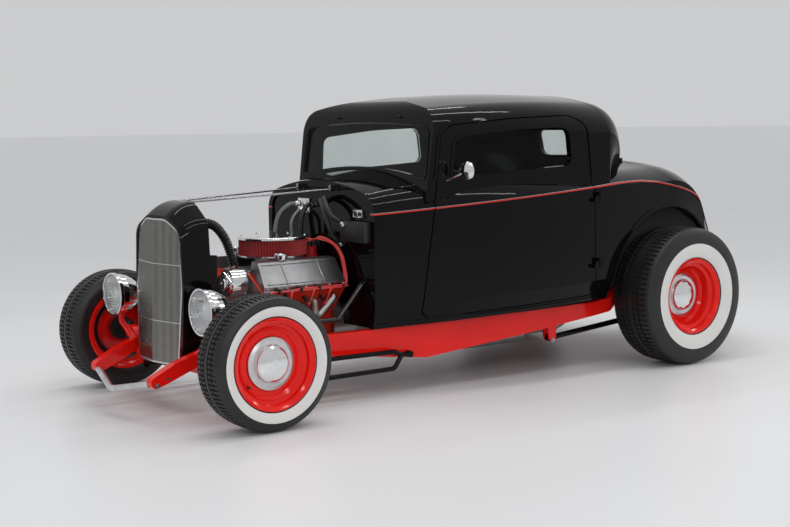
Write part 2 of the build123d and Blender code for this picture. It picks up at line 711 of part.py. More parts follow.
tie_rod = merged([
    rod(at(TIE_ROD_REACH, -KINGPIN_Y, LINK_Z), at(TIE_ROD_REACH, KINGPIN_Y, LINK_Z), LINK_R),
    link_end(TIE_ROD_REACH, KINGPIN_Y), link_end(TIE_ROD_REACH, -KINGPIN_Y)])
save("tie_rod", tie_rod)
drag_link = merged([
    rod(at(DRAG_LINK_REACH, -KINGPIN_Y, LINK_Z), at(DRAG_LINK_REACH, PITMAN_Y, LINK_Z), LINK_R),
    link_end(DRAG_LINK_REACH, -KINGPIN_Y), link_end(DRAG_LINK_REACH, PITMAN_Y)])
save("drag_link", drag_link)
pitman_z = LINK_Z + LINK_END_R + SEAT_GAP + PITMAN_LENGTH
pitman_top = at(DRAG_LINK_REACH, PITMAN_Y, pitman_z)
pitman_foot = math.sqrt(PITMAN_LENGTH ** 2 - PITMAN_FOOT_HALF ** 2)
pitman_side = Wire([
    Line((-PITMAN_FOOT_HALF, -pitman_foot), (-PITMAN_TOP_HALF, 0)),
    Line((-PITMAN_TOP_HALF, 0), (PITMAN_TOP_HALF, 0)),
    Line((PITMAN_TOP_HALF, 0), (PITMAN_FOOT_HALF, -pitman_foot)),
    ThreePointArc((PITMAN_FOOT_HALF, -pitman_foot), (0, -PITMAN_LENGTH), (-PITMAN_FOOT_HALF, -pitman_foot)),
])
pitman_plane = Plane(origin=pitman_top - Vector(PITMAN_T / 2, 0, 0), x_dir=(0, 1, 0), z_dir=(1, 0, 0))
pitman_boss = rod(pitman_top - Vector(9, 0, 0), pitman_top + Vector(9, 0, 0), PITMAN_EYE_R)
pitman_arm = pitman_boss + extrude(pitman_plane * make_face(pitman_side), PITMAN_T)
save("pitman_arm", pitman_arm)
box_face = DRAG_LINK_REACH + 9 + SEAT_GAP
box_y = rail_at(box_face)[0] - RAIL_W
steering_box = merged([
    rod(at(box_face, PITMAN_Y, pitman_z), at(box_face + 60, PITMAN_Y, pitman_z), 34),
    block(box_face + 30, box_face + 140, PITMAN_Y - 42, box_y, pitman_z - 46, pitman_z + 48),
    rod(at(box_face + 130, PITMAN_Y + 4, pitman_z + 20), at(box_face + 180, PITMAN_Y + 8, pitman_z + 28), 22)])
save("steering_box", steering_box)

# Radius rods
rod_axle_y = 482
wing = block(AXLE_BEAM_W / 2, AXLE_BEAM_W / 2 + 14, rod_axle_y - 20, rod_axle_y + 20, ROD_LOW_Z - 16, ROD_HIGH_Z + 16)
eye = rod(at(ROD_EYE_D, ROD_EYE_Y - 14, ROD_EYE_Z), at(ROD_EYE_D, ROD_EYE_Y + 14, ROD_EYE_Z), 17)
neck = rod(at(ROD_EYE_D, ROD_EYE_Y, ROD_EYE_Z), at(ROD_EYE_D - 50, ROD_EYE_Y, ROD_EYE_Z), 13)
high_rod = tube([at(ROD_EYE_D - 46, ROD_EYE_Y, ROD_EYE_Z), at(ROD_EYE_D - 92, ROD_EYE_Y, ROD_HIGH_Z - 6),
                 at(28, rod_axle_y, ROD_HIGH_Z)], RADIUS_ROD_R, 30)
low_rod = tube([at(ROD_EYE_D - 46, ROD_EYE_Y, ROD_EYE_Z), at(ROD_EYE_D - 92, ROD_EYE_Y, ROD_LOW_Z + 8),
                at(28, rod_axle_y, ROD_LOW_Z)], RADIUS_ROD_R, 30)
save("radius_rods", both(merged([wing, eye, neck, high_rod, low_rod])))

# Rear axle, links and springs
rear_z = REAR_TYRE_R
axle_tube = rod(at(WHEELBASE, -REAR_TUBE_HALF, rear_z), at(WHEELBASE, REAR_TUBE_HALF, rear_z), 38)
carrier = Pos(behind(WHEELBASE), 0, rear_z) * Sphere(132)
carrier_nose = rod(at(WHEELBASE - 100, 0, rear_z), at(WHEELBASE - 215, 0, rear_z), 46)
plates = [rod(at(WHEELBASE, y, rear_z), at(WHEELBASE, y + 8 * side, rear_z), DRUM_R + 4)
          for y, side in ((REAR_TUBE_HALF, 1), (-REAR_TUBE_HALF, -1))]
shafts = [rod(at(WHEELBASE, side * REAR_TUBE_HALF, rear_z), at(WHEELBASE, side * (REAR_WHEEL_Y + REAR_STUB), rear_z), SPINDLE_R)
          for side in (1, -1)]
axle_ears = [block(WHEELBASE - 95, WHEELBASE - 20, side * LINK_BAR_Y - 22, side * LINK_BAR_Y + 22, LINK_BAR_AXLE_Z - 22, rear_z)
             for side in (1, -1)]
ear_gaps = [block(WHEELBASE - 100, WHEELBASE - 44, side * LINK_BAR_Y - 16 - RUN_GAP, side * LINK_BAR_Y + 16 + RUN_GAP,
                  LINK_BAR_AXLE_Z - 30, LINK_BAR_AXLE_Z + 24) for side in (1, -1)]
spring_seats = [block(WHEELBASE - 30, WHEELBASE + 116, side * COIL_Y - 34, side * COIL_Y + 34, rear_z - 66, rear_z - 26)
                for side in (1, -1)]
rear_axle = merged([axle_tube, carrier, carrier_nose] + plates + shafts + axle_ears + spring_seats)
rear_axle = rear_axle - ear_gaps[0] - ear_gaps[1]
save("rear_axle", rear_axle)
link_bar = merged([
    rod(at(LINK_PIN_D, LINK_BAR_Y, LINK_BAR_Z), at(WHEELBASE - 70, LINK_BAR_Y, LINK_BAR_AXLE_Z), LINK_BAR_R),
    rod(at(LINK_PIN_D, LINK_BAR_Y - 16, LINK_BAR_Z), at(LINK_PIN_D, LINK_BAR_Y + 16, LINK_BAR_Z), 19),
    rod(at(WHEELBASE - 70, LINK_BAR_Y - 16, LINK_BAR_AXLE_Z), at(WHEELBASE - 70, LINK_BAR_Y + 16, LINK_BAR_AXLE_Z), 19)])
save("rear_links", both(link_bar))
coil_low = at(WHEELBASE + COIL_BACK, COIL_Y, rear_z - 26 + SEAT_GAP)
coil_high = at(WHEELBASE + COIL_BACK, COIL_Y, COIL_TOP_Z)
damper = merged([
    rod(coil_low, coil_low + Vector(0, 0, 20), 22),
    rod(coil_low + Vector(0, 0, 20), coil_high - Vector(0, 0, 20), 30),
    rod(coil_high - Vector(0, 0, 20), coil_high, 22)])
save("rear_springs", both(damper))

# Engine
block_side = [(-118, 205), (118, 205), (140, 300), (150, 400), (216, 460), (110, 566), (40, VALLEY_Z),
              (-40, VALLEY_Z), (-110, 566), (-216, 460), (-150, 400), (-140, 300)]


def engine_slice(points, d0, d1):
    face = make_face(Polyline(*[(behind(d1), y, z) for y, z in points], close=True))
    return extrude(face, d1 - d0, dir=(1, 0, 0))


HEAD_SIDE = [(110, 566), (160, 632), (297, 546), (216, 460)]
COVER_SIDE = [(160, 633), (172, 690), (226, 684), (303, 573), (297, 547)]
COVER_SLANT = 16
RIB_W = 6
RIB_H = 5
BREATHER_D = 419
BREATHER_R = 26
engine_core = engine_slice(block_side, ENGINE_FRONT, ENGINE_REAR)
head = engine_slice(HEAD_SIDE, ENGINE_FRONT + 6, ENGINE_REAR - 6)
pan = block(ENGINE_FRONT + 120, ENGINE_REAR, -105, 105, PAN_LOW_Z, 210)
engine_block = merged([engine_core + pan, head, mirror(head, about=Plane.XZ)])
save("engine_block", engine_block)
cover = engine_slice(COVER_SIDE, COVER_FRONT, COVER_REAR)
cover_ends = [(COVER_FRONT, 540), (COVER_FRONT + COVER_SLANT, 700), (COVER_REAR - COVER_SLANT, 700), (COVER_REAR, 540)]
cover = cover & side_prism(cover_ends, 100, 360)


def cover_rib(share):
    """A rib along the cover's outer slope, at a share of the way down it."""
    (y0, z0), (y1, z1) = COVER_SIDE[2:4]
    slope = math.dist((y0, z0), (y1, z1))
    down = ((y1 - y0) / slope, (z1 - z0) / slope)
    out = (-down[1], down[0])
    mid = (y0 + (y1 - y0) * share, z0 + (z1 - z0) * share)
    corners = [(along, height) for along, height in
               ((-RIB_W / 2, -1), (-RIB_W / 2, RIB_H), (RIB_W / 2, RIB_H), (RIB_W / 2, -1))]
    points = [(mid[0] + down[0] * along + out[0] * height, mid[1] + down[1] * along + out[1] * height)
              for along, height in corners]
    return engine_slice(points, COVER_FRONT + 2 * COVER_SLANT, COVER_REAR - 2 * COVER_SLANT)


cover = merged([cover] + [cover_rib(share) for share in (0.1, 0.9)])
save("valve_covers", both(cover))
breather_y = (COVER_SIDE[1][0] + COVER_SIDE[2][0]) / 2
breather_z = COVER_SIDE[1][1]
breather_neck = rod(at(BREATHER_D, breather_y, breather_z - 12), at(BREATHER_D, breather_y, breather_z + 14), 17)
breather_top = rod(at(BREATHER_D, breather_y, breather_z + 10), at(BREATHER_D, breather_y, breather_z + 34), BREATHER_R)
breather_top = fillet(breather_top.edges().group_by(Axis.Z)[-1], 7)
save("breather_caps", both(merged([breather_neck, breather_top]) - cover))
gearbox = merged([
    rod(at(ENGINE_REAR, 0, CRANK_Z), at(ENGINE_REAR + 130, 0, CRANK_Z), 185),
    rod(at(ENGINE_REAR + 130, 0, CRANK_Z - 10), at(ENGINE_REAR + 620, 0, CRANK_Z - 10), 110)])
shaft_end = at(WHEELBASE - 215, 0, rear_z)
prop_shaft = rod(at(ENGINE_REAR + 600, 0, CRANK_Z - 10), shaft_end, SHAFT_R)
save("driveline", gearbox + prop_shaft - rear_axle)

intake_low = engine_slice([(-105, 545), (105, 545), (150, 628), (96, 640), (-96, 640), (-150, 628)], 290, 700)
carb = block(CLEANER_D - 70, CLEANER_D + 70, -62, 62, 636, CLEANER_LOW_Z - 8)
cleaner_base = Pos(behind(CLEANER_D), 0, CLEANER_LOW_Z - 4) * Cylinder(CLEANER_R - 6, 8)
lid_z = CLEANER_TOP_Z - CLEANER_LID_T
cleaner_lid = Pos(behind(CLEANER_D), 0, lid_z + CLEANER_LID_T / 2) * Cylinder(CLEANER_R, CLEANER_LID_T)
cleaner_lid = fillet(cleaner_lid.edges().group_by(Axis.Z)[-1], 8)
spindle_post = rod(at(CLEANER_D, 0, 640), at(CLEANER_D, 0, lid_z + 2), 9)
cap_at = at(DISTRIBUTOR_D, 0, 650)
distributor_cap = rod(cap_at, cap_at + Vector(0, 0, 30), 40) + rod(cap_at, cap_at + Vector(0, 0, 72), 33)
towers = [rod(cap_at + Vector(x, y, 60), cap_at + Vector(x, y, 88), 6) for x, y in
          [(0, 0)] + [(24 * math.cos(math.radians(a)), 24 * math.sin(math.radians(a))) for a in range(0, 360, 45)]]
distributor = merged([rod(at(DISTRIBUTOR_D, 0, VALLEY_Z + SEAT_GAP), cap_at, 26), distributor_cap] + towers)
intake = merged([intake_low, carb, cleaner_base, spindle_post, cleaner_lid])
intake = (intake - engine_block).solids().sort_by(SortBy.VOLUME)[-1]
save("intake", intake)
filter_outline = []
for step in range(2 * PLEATS):
    turn = math.pi * step / PLEATS
    radius = CLEANER_R - 6 - PLEAT_H * (step % 2)
    filter_outline.append((radius * math.cos(turn), radius * math.sin(turn)))
filter_face = make_face(Polyline(*filter_outline, close=True)) - Circle(CLEANER_R - 34)
filter_ring = Pos(behind(CLEANER_D), 0, CLEANER_LOW_Z) * extrude(filter_face, lid_z - CLEANER_LOW_Z)
save("air_filter", filter_ring)
save("distributor", distributor - engine_block)

crank_pulley = rod(at(ENGINE_FRONT - 52, 0, CRANK_Z), at(ENGINE_FRONT, 0, CRANK_Z), 84)
pump = rod(at(ENGINE_FRONT - 86, 0, CRANK_Z + 165), at(ENGINE_FRONT, 0, CRANK_Z + 165), 60)
fan_hub = rod(at(ENGINE_FRONT - 118, 0, CRANK_Z + 165), at(ENGINE_FRONT - 86, 0, CRANK_Z + 165), 40)
fan_blades = [
    Pos(behind(ENGINE_FRONT - 104), 0, CRANK_Z + 165) * Rot(angle, 0, 0) * Pos(0, 0, 118) * Rot(0, 0, 24) * Box(5, 78, 170)
    for angle in range(0, 360, 60)]
alternator = merged([
    rod(at(160, 128, 590), at(240, 128, 590), 66),
    rod(at(150, 128, 590), at(160, 128, 590), 56),
    rod(at(122, 128, 590), at(150, 128, 590), 12),
    rod(at(126, 128, 590), at(134, 128, 590), 38),
    rod(at(134, 128, 590), at(142, 128, 590), 30),
    rod(at(142, 128, 590), at(148, 128, 590), 38)])
alternator_arm = block(206, 218, 20, 110, 520, 570)
save("engine_front", merged([crank_pulley, pump, fan_hub, alternator, alternator_arm] + fan_blades))

port_ds = [300, 415, 560, 680]
COLLECTOR_D = 555
COLLECTOR_R = 36
PRIMARY_R = 17
primary_turns = [
    [(port_ds[0], 285, 480), (470, 285, 440), (COLLECTOR_D - 15, 250, 385)],
    [(port_ds[1], 285, 478), (500, 285, 440), (COLLECTOR_D - 5, 250, 385)],
    [(port_ds[2], 285, 484), (port_ds[2], 285, 420), (COLLECTOR_D + 5, 250, 385)],
    [(port_ds[3], 290, 504), (580, 290, 414), (COLLECTOR_D + 15, 250, 385)],
]
primaries = [tube([at(turns[0][0], 238, 494)] + [at(*turn) for turn in turns], PRIMARY_R, 20)
             for turns in primary_turns]
port_flanges = [rod(at(d, 240, 490), at(d, 262, 477), 26) for d in port_ds]
collector = rod(at(COLLECTOR_D, 252, 402), at(COLLECTOR_D + 45, 240, 325), COLLECTOR_R)
down_pipe = tube([at(COLLECTOR_D + 40, 241, 335), at(COLLECTOR_D + 90, 240, 240), at(860, PIPE_Y, PIPE_Z + 10),
                  at(1100, PIPE_Y, PIPE_Z), at(1520, PIPE_Y, PIPE_Z)], 24, 45)
manifold = merged(primaries + port_flanges + [collector])
muffler = rod(at(1500, PIPE_Y, PIPE_Z), at(1900, PIPE_Y, PIPE_Z), 58)
tail_pipe = tube([at(1880, PIPE_Y, PIPE_Z), at(2170, PIPE_Y, PIPE_Z), at(2340, 300, 290), at(2560, 300, 495), at(2790, 300, 495),
                  at(2900, 300, 300), at(3050, 300, TAIL_PIPE_Z), at(3480, 300, TAIL_PIPE_Z)], 22, 60)
outlet = rod(at(3350, 300, TAIL_PIPE_Z), at(3490, 300, TAIL_PIPE_Z), OUTLET_R)
exhaust = merged([manifold - engine_block, down_pipe, muffler, tail_pipe]) - outlet
save("exhaust", both(exhaust))

# Radiator, shell and grille

def shell_outline(half_w, low, top, crown):
    """The shell's front view: slightly bowed sides, a rounded head and a narrow foot."""
    points = [(-half_w * 0.89, low), (half_w * 0.89, low), (half_w, (low + top) * 0.52), (half_w * 0.93, top - crown),
              (half_w * 0.42, top), (-half_w * 0.42, top), (-half_w * 0.93, top - crown), (-half_w, (low + top) * 0.52)]
    return FilletPolyline(*points, radius=[28, 28, 500, 80, 120, 120, 80, 500], close=True)


SHELL_SECTIONS = [
    # distance, half width, foot, top, crown
    (SHELL_REAR, SHELL_HALF_W, SHELL_LOW_Z, SHELL_TOP_Z, 92),
    (SHELL_MIDDLE, SHELL_HALF_W - 5, SHELL_LOW_Z + 1, SHELL_TOP_Z - 14, 84),
    (SHELL_FRONT, SHELL_HALF_W - SHELL_SIDE_IN, SHELL_LOW_Z + 4, SHELL_TOP_Z - SHELL_DROP, 66),
]
CAVE_SECTIONS = [
    (SHELL_REAR + 2, SHELL_HALF_W - 5, SHELL_LOW_Z - 10, SHELL_TOP_Z - 6, 90),
    (SHELL_MIDDLE, SHELL_HALF_W - 10, SHELL_LOW_Z - 9, SHELL_TOP_Z - 20, 82),
    (SHELL_FRONT + SHELL_LIP, SHELL_HALF_W - SHELL_SIDE_IN - 3, SHELL_LOW_Z - 6, SHELL_TOP_Z - SHELL_DROP + 4, 66),
]


def shell_loft(sections):
    return loft([Plane(origin=(behind(d), 0, 0), x_dir=(0, 1, 0), z_dir=(1, 0, 0))
                 * make_face(shell_outline(*outline)) for d, *outline in sections])


insert_half = SHELL_HALF_W - SHELL_SIDE_IN - SHELL_LIP
insert_low = SHELL_LOW_Z + 22
insert_top = SHELL_TOP_Z - SHELL_DROP - SHELL_LIP
shell_form = shell_loft(SHELL_SECTIONS)
shell_inner_face = make_face(shell_outline(insert_half, insert_low, insert_top, 62))
shell_inner = extrude(Plane(origin=(behind(400), 0, 0), x_dir=(0, 1, 0), z_dir=(1, 0, 0)) * shell_inner_face, 800)
shell_cave = shell_loft(CAVE_SECTIONS)
cross_notch = block(-CROSS_HALF - 3, 10, -SHELL_HALF_W - 10, SHELL_HALF_W + 10, 0, CROSS_LOW_Z + CROSS_H + SEAT_GAP)
grille_shell = shell_form - shell_inner - shell_cave - cross_notch
save("grille_shell", grille_shell)

insert_face = make_face(shell_outline(insert_half - SEAT_GAP, insert_low + SEAT_GAP, insert_top - SEAT_GAP, 62))
insert_plane = Plane(origin=(behind(0), 0, 0), x_dir=(0, 1, 0), z_dir=(1, 0, 0))
insert_prism = extrude(insert_plane * insert_face, 260)
insert_core = extrude(insert_plane * offset(insert_face, -GRILLE_RIM), 260)
side_x = -SHELL_FRONT - 6
lean_x = GRILLE_LEAN
v_points = [(side_x, SHELL_HALF_W), (side_x + GRILLE_V, 0), (side_x, -SHELL_HALF_W),
            (side_x - GRILLE_BAR_D, -SHELL_HALF_W), (side_x - GRILLE_BAR_D + GRILLE_V, 0), (side_x - GRILLE_BAR_D, SHELL_HALF_W)]


def v_slab(z, shift):
    return make_face(Polyline(*[(behind(0) + x + shift, y, z) for x, y in v_points], close=True))


v_wall = loft([v_slab(SHELL_LOW_Z, lean_x), v_slab(SHELL_TOP_Z, -lean_x)], ruled=True)
bar_count = int((insert_half - GRILLE_RIM) / GRILLE_PITCH)
bars = [Pos(behind(0) + side_x + GRILLE_V / 2, i * GRILLE_PITCH, SHELL_TOP_Z / 2) * Box(140, GRILLE_BAR_W, SHELL_TOP_Z)
        for i in range(-bar_count, bar_count + 1)]
cross_wires = [Pos(behind(0) + side_x + GRILLE_V / 2, 0, z) * Box(140, 2 * SHELL_HALF_W, 3) for z in (430, 700)]
bar_comb = (insert_core & v_wall) & Compound(children=bars + cross_wires)
grille_rim = (insert_prism - insert_core) & v_wall
grille_bars = merged([grille_rim] + [solid for solid in bar_comb.solids()])
save("grille_bars", grille_bars)

radiator_face = make_face(shell_outline(SHELL_HALF_W - 36, CROSS_LOW_Z + CROSS_H + SEAT_GAP, SHELL_TOP_Z - 70, 80))
radiator_plane = Plane(origin=(behind(RADIATOR_REAR), 0, 0), x_dir=(0, 1, 0), z_dir=(1, 0, 0))
radiator = extrude(radiator_plane * radiator_face, RADIATOR_T)
save("radiator", radiator)
hose_start = RADIATOR_REAR + SEAT_GAP
upper_hose = tube([at(hose_start, 60, 880), at(70, 60, 880), at(160, 60, 860), at(232, 40, 750), at(262, 30, 640.6)], 21, 60)
lower_hose = tube([at(hose_start, -150, 376), at(60, -150, 376), at(160, -140, 300), at(216, -122, 330), at(222, -118, 440),
                   at(222, -60, 500)], 19, 24)
lower_hose = lower_hose - pump
save("hoses", Compound(children=[upper_hose.solid(), lower_hose.solid()]))
stay_from = at(FIREWALL - 20, STAY_REAR_Y, STAY_REAR_Z)
stay_to = at(SHELL_REAR + 1, STAY_FRONT_Y, STAY_FRONT_Z)
stay_foot = block(FIREWALL - 30, FIREWALL - SEAT_GAP, STAY_REAR_Y - 9, STAY_REAR_Y + 9, STAY_REAR_Z - 10, STAY_REAR_Z + 22)
stay_foot = fillet(stay_foot.edges().filter_by(Axis.Y), 5)
save("hood_stays", both(merged([rod(stay_from, stay_to, STAY_R), stay_foot])))

bucket = []
for step in range(9):
    turn = math.pi / 2 * step / 8
    bucket.append((LAMP_FRONT + 22 + (LAMP_DEPTH - 22) * math.sin(turn), (LAMP_R - 6) * math.cos(turn) ** 1.5))
bucket[-1] = (LAMP_FRONT + LAMP_DEPTH, 0)
lamp_shape = [(LAMP_FRONT, LAMP_R - 8), (LAMP_FRONT, LAMP_R), (LAMP_FRONT + 16, LAMP_R)] + bucket + [
    (LAMP_FRONT + 120, 0), (LAMP_FRONT + 100, LAMP_R * 0.5), (LAMP_FRONT + 60, LAMP_R * 0.76),
    (LAMP_FRONT + 8, LAMP_R - 10)]
lamp = nose_revolve(lamp_shape, LAMP_Y, LAMP_Z) - lamp_stand
save("headlamps", both(lamp))
lens_shape = [(LAMP_FRONT - 10, 0), (LAMP_FRONT - 3, LAMP_R * 0.6), (LAMP_FRONT + 4, LAMP_R - 9 - SEAT_GAP),
              (LAMP_FRONT + 8, LAMP_R - 11 - SEAT_GAP), (LAMP_FRONT + 3, LAMP_R * 0.55), (LAMP_FRONT - 4, 0)]
save("headlamp_lenses", both(nose_revolve(lens_shape, LAMP_Y, LAMP_Z)))

# Firewall, floor and cabin
wall_front = FIREWALL + FIREWALL_SET
firewall = block(wall_front, wall_front + FIREWALL_T, -HALF_LIMIT, HALF_LIMIT, LOWER_FRONT[0][3], ROOF_LIMIT) & lower_inner
bell_hole = rod(at(FIREWALL - 40, 0, CRANK_Z), at(FIREWALL + 60, 0, CRANK_Z), TUNNEL_R)
column_low = at(wall_front - 6, 375, 558)
wheel_centre = at(1500, 335, 930)
column_dir = wheel_centre - column_low
column_hole = rod(column_low - column_dir.normalized() * 40, column_low + column_dir.normalized() * 60, 17 + SEAT_GAP)
firewall = firewall - bell_hole - column_hole
save("firewall", firewall)
floor_start = wall_front + FIREWALL_T
toe_board = block(floor_start, 1000, -HALF_LIMIT, HALF_LIMIT, FLOOR_Z, FLOOR_Z + 8) & lower_inner
floor_front = block(1000, 2290, -FLOOR_HALF, FLOOR_HALF, FLOOR_Z, FLOOR_Z + 8)
under_floor = block(0, 3000, -300, 300, 0, FLOOR_Z)
tunnel = rod(at(floor_start, 0, CRANK_Z + 12), at(1400, 0, CRANK_Z - 30), TUNNEL_R + 8) - under_floor
tunnel_bore = rod(at(FIREWALL, 0, CRANK_Z + 12), at(1392, 0, CRANK_Z - 30), TUNNEL_R)
shaft_bore = rod(at(1380, 0, CRANK_Z - 10), at(2400, 0, REAR_TYRE_R), SHAFT_R + 18)
shaft_tunnel = rod(at(1380, 0, CRANK_Z - 10), at(2290, 0, REAR_TYRE_R - 7), SHAFT_R + 26) - under_floor
riser = block(1750, 2280, -SEAT_HALF + 20, SEAT_HALF - 20, FLOOR_Z, SEAT_Z)
bulkhead_half = TUB_Y - TUB_T - SEAT_GAP
bulkhead = block(2290, 2300, -bulkhead_half, bulkhead_half, RAIL_TOP_Z, 1000) & lower_inner
bulkhead = bulkhead + block(2290, 2300, -FLOOR_HALF, FLOOR_HALF, FLOOR_Z, RAIL_TOP_Z + 4)
kick = block(2300, 3300, TUB_T + SEAT_GAP - TUB_Y, TUB_Y - TUB_T - SEAT_GAP, TRUNK_Z, TRUNK_Z + 8) & lower_inner
floor = merged([toe_board, floor_front, tunnel, shaft_tunnel, riser, bulkhead, kick]) - tunnel_bore - shaft_bore
save("floor", floor)

cushion = fillet(block(1740, 2230, -SEAT_HALF, SEAT_HALF, SEAT_Z + SEAT_GAP, CUSHION_Z).edges(), 40)
back = fillet(block(2150, 2290 - SEAT_GAP, -SEAT_HALF, SEAT_HALF, CUSHION_Z + SEAT_GAP, 970).edges(), 40)
save("seat", Compound(children=[cushion.solid(), back.solid()]))
joint_low = at(651, 350, 392)
column = rod(column_low - column_dir.normalized() * 10, wheel_centre, 17)
rim_plane = Plane(origin=wheel_centre, z_dir=column_dir)
steering_wheel = rim_plane * Torus(178, 13)
spokes = [rim_plane * Rot(0, 0, angle) * Pos(88, 0, 0) * Box(176, 22, 6) for angle in (90, 210, 330)]
hub = rim_plane * Cylinder(30, 26)
lower_shaft = rod(column_low, joint_low, 13)
box_input = at(box_face + 180 + SEAT_GAP, PITMAN_Y + 8, pitman_z + 28)
front_shaft = rod(joint_low, box_input, 11)
steering_column = merged([column, steering_wheel, hub, lower_shaft, front_shaft] + spokes) - steering_box
save("steering_column", steering_column)

tank = fillet(block(3285, 3460, -TANK_HALF, TANK_HALF, 302, 448).edges().filter_by(Axis.Y), 26)
save("fuel_tank", tank - frame)


tail_lamps = [rod(at(3330, side * TAIL_LAMP_Y, TAIL_LAMP_Z), at(TAIL_LAMP_D, side * TAIL_LAMP_Y, TAIL_LAMP_Z), TAIL_LAMP_R)
              for side in (1, -1)]
tail_lamps = [(lamp - lower).solids().sort_by(Axis.X)[0] for lamp in tail_lamps]
save("tail_lamps", Compound(children=tail_lamps))

# Mirrors on the doors
mirror_base = rod(at(1150, 560, 1052), at(1180, 690, 1100), 7)
mirror_shape = []
for step in range(7):
    turn = math.pi / 2 * step / 6
    mirror_shape.append((MIRROR_D + MIRROR_DEPTH * (1 - math.cos(turn)), MIRROR_R * math.sin(turn)))
mirror_shape += [(MIRROR_D + MIRROR_DEPTH + 8, MIRROR_R), (MIRROR_D + MIRROR_DEPTH + 8, 0)]
mirror_head = nose_revolve(mirror_shape, 700, 1108)
mirror_left = (mirror_base + mirror_head) - door_left
mirror_left = mirror_left.solids().sort_by(Axis.Y)[-1]
save("mirror_left", mirror_left)
save("mirror_right", mirror(mirror_left, about=Plane.XZ))

# Wheels

def tyre(radius, width, rim_w, y, d):
    """A tyre's closed section turned about the axle, its tread band nearly flat."""
    half = width / 2
    bead = rim_w / 2 - 10
    wall_r = (radius + RIM_R) / 2 + 4
    z = radius
    shoulder = half * 0.80
    low = RIM_R - 14
    tread = ThreePointArc((behind(d), y - shoulder, z + radius - 5), (behind(d), y, z + radius), (behind(d), y + shoulder, z + radius - 5))
    wall_out = ThreePointArc((behind(d), y + shoulder, z + radius - 5), (behind(d), y + half, z + wall_r), (behind(d), y + bead, z + low))
    wall_in = ThreePointArc((behind(d), y - bead, z + low), (behind(d), y - half, z + wall_r), (behind(d), y - shoulder, z + radius - 5))
    inside = ThreePointArc((behind(d), y + bead, z + low), (behind(d), y, z + radius - 16), (behind(d), y - bead, z + low))
    face = make_face(Wire([tread, wall_out, inside, wall_in]))
    return revolve(face, Axis((behind(d), y, z), (0, 1, 0)), 360)


def steel_wheel(rim_w, dish, side):
    """Rim, drop centre, dished disc, hub and brake drum as one closed outline.

    Offsets are from the rim's middle, outward positive."""
    half = rim_w / 2
    t = DISC_T
    outer = [
        (half, RIM_R), (half, RIM_R - 5), (half - 8, RIM_R - 14), (half - 14, RIM_R - 24), (half - 34, RIM_R - 26),
        (half - 42, RIM_R - 44), (dish + 24, RIM_R - 46), (dish + 10, RIM_R - 60), (dish + 16, CAP_RING_R + 6),
        (dish + 6, CAP_RING_R - 14), (dish + 2, 48), (dish + 2, SPINDLE_R + RUN_GAP)]
    inner = [
        (dish - DRUM_DEPTH, SPINDLE_R + RUN_GAP), (dish - DRUM_DEPTH, HUB_R), (dish - t - 4, HUB_R),
        (dish - t - 4, DRUM_R - 8), (dish - DRUM_DEPTH, DRUM_R - 8), (dish - DRUM_DEPTH, DRUM_R), (dish - t, DRUM_R),
        (dish + 2, RIM_R - 62), (dish + 14, RIM_R - 52), (14 - half + 28, RIM_R - 52), (14 - half + 18, RIM_R - 32),
        (14 - half, RIM_R - 30), (8 - half, RIM_R - 20), (-half, RIM_R - 10), (-half, RIM_R),
        (4 - half, RIM_R), (12 - half, RIM_R - 15), (18 - half, RIM_R - 25), (36 - half, RIM_R - 27),
        (44 - half, RIM_R - 46), (half - 46, RIM_R - 40), (half - 38, RIM_R - 21), (half - 16, RIM_R - 19), (half - 12, RIM_R - 10), (half - 6, RIM_R)]
    return [(out * side, r) for out, r in outer + inner]


def cap_shape(dish, side):
    seat = dish + 16 + SEAT_GAP
    dome = []
    for step in range(7):
        turn = math.pi / 2 * step / 6
        dome.append((seat + 14 + 26 * math.sin(turn), CAP_DOME_R * math.cos(turn)))
    dome[-1] = (seat + 40, 0)
    shape = [(dish + 2 + SEAT_GAP, 0), (dish + 2 + SEAT_GAP, 46), (seat - 6, CAP_RING_R - 16), (seat, CAP_RING_R),
             (seat + 5, CAP_RING_R - 2), (seat + 11, CAP_RING_R - 16), (seat + 8, CAP_DOME_R + 5)] + dome
    return [(out * side, r) for out, r in shape]


WHEELS = [
    # name, distance, side, tyre radius, tyre width, rim width, wheel middle, dish
    ("front_left", 0, 1, FRONT_TYRE_R, FRONT_TYRE_W, FRONT_RIM_W, FRONT_WHEEL_Y, FRONT_DISH),
    ("front_right", 0, -1, FRONT_TYRE_R, FRONT_TYRE_W, FRONT_RIM_W, FRONT_WHEEL_Y, FRONT_DISH),
    ("rear_left", WHEELBASE, 1, REAR_TYRE_R, REAR_TYRE_W, REAR_RIM_W, REAR_WHEEL_Y, REAR_DISH),
    ("rear_right", WHEELBASE, -1, REAR_TYRE_R, REAR_TYRE_W, REAR_RIM_W, REAR_WHEEL_Y, REAR_DISH),
]
for name, d, side, radius, width, rim_w, y, dish in WHEELS:
    wheel = wheel_revolve(steel_wheel(rim_w, dish, side), y * side, radius, d)
    save("wheel_" + name, wheel)
    save("tyre_" + name, tyre(radius, width, rim_w, y * side, d) - wheel)
    save("cap_" + name, wheel_revolve(cap_shape(dish, side), y * side, radius, d))
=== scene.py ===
"""Dresses the chopped coupe hot rod: paint, bright work, rubber, glass, trim and a plain studio."""
import json
import math

import bmesh
import bpy
from bpy.props import FloatProperty, FloatVectorProperty, IntProperty, PointerProperty
from mathutils import Matrix, Vector
from mathutils.bvhtree import BVHTree

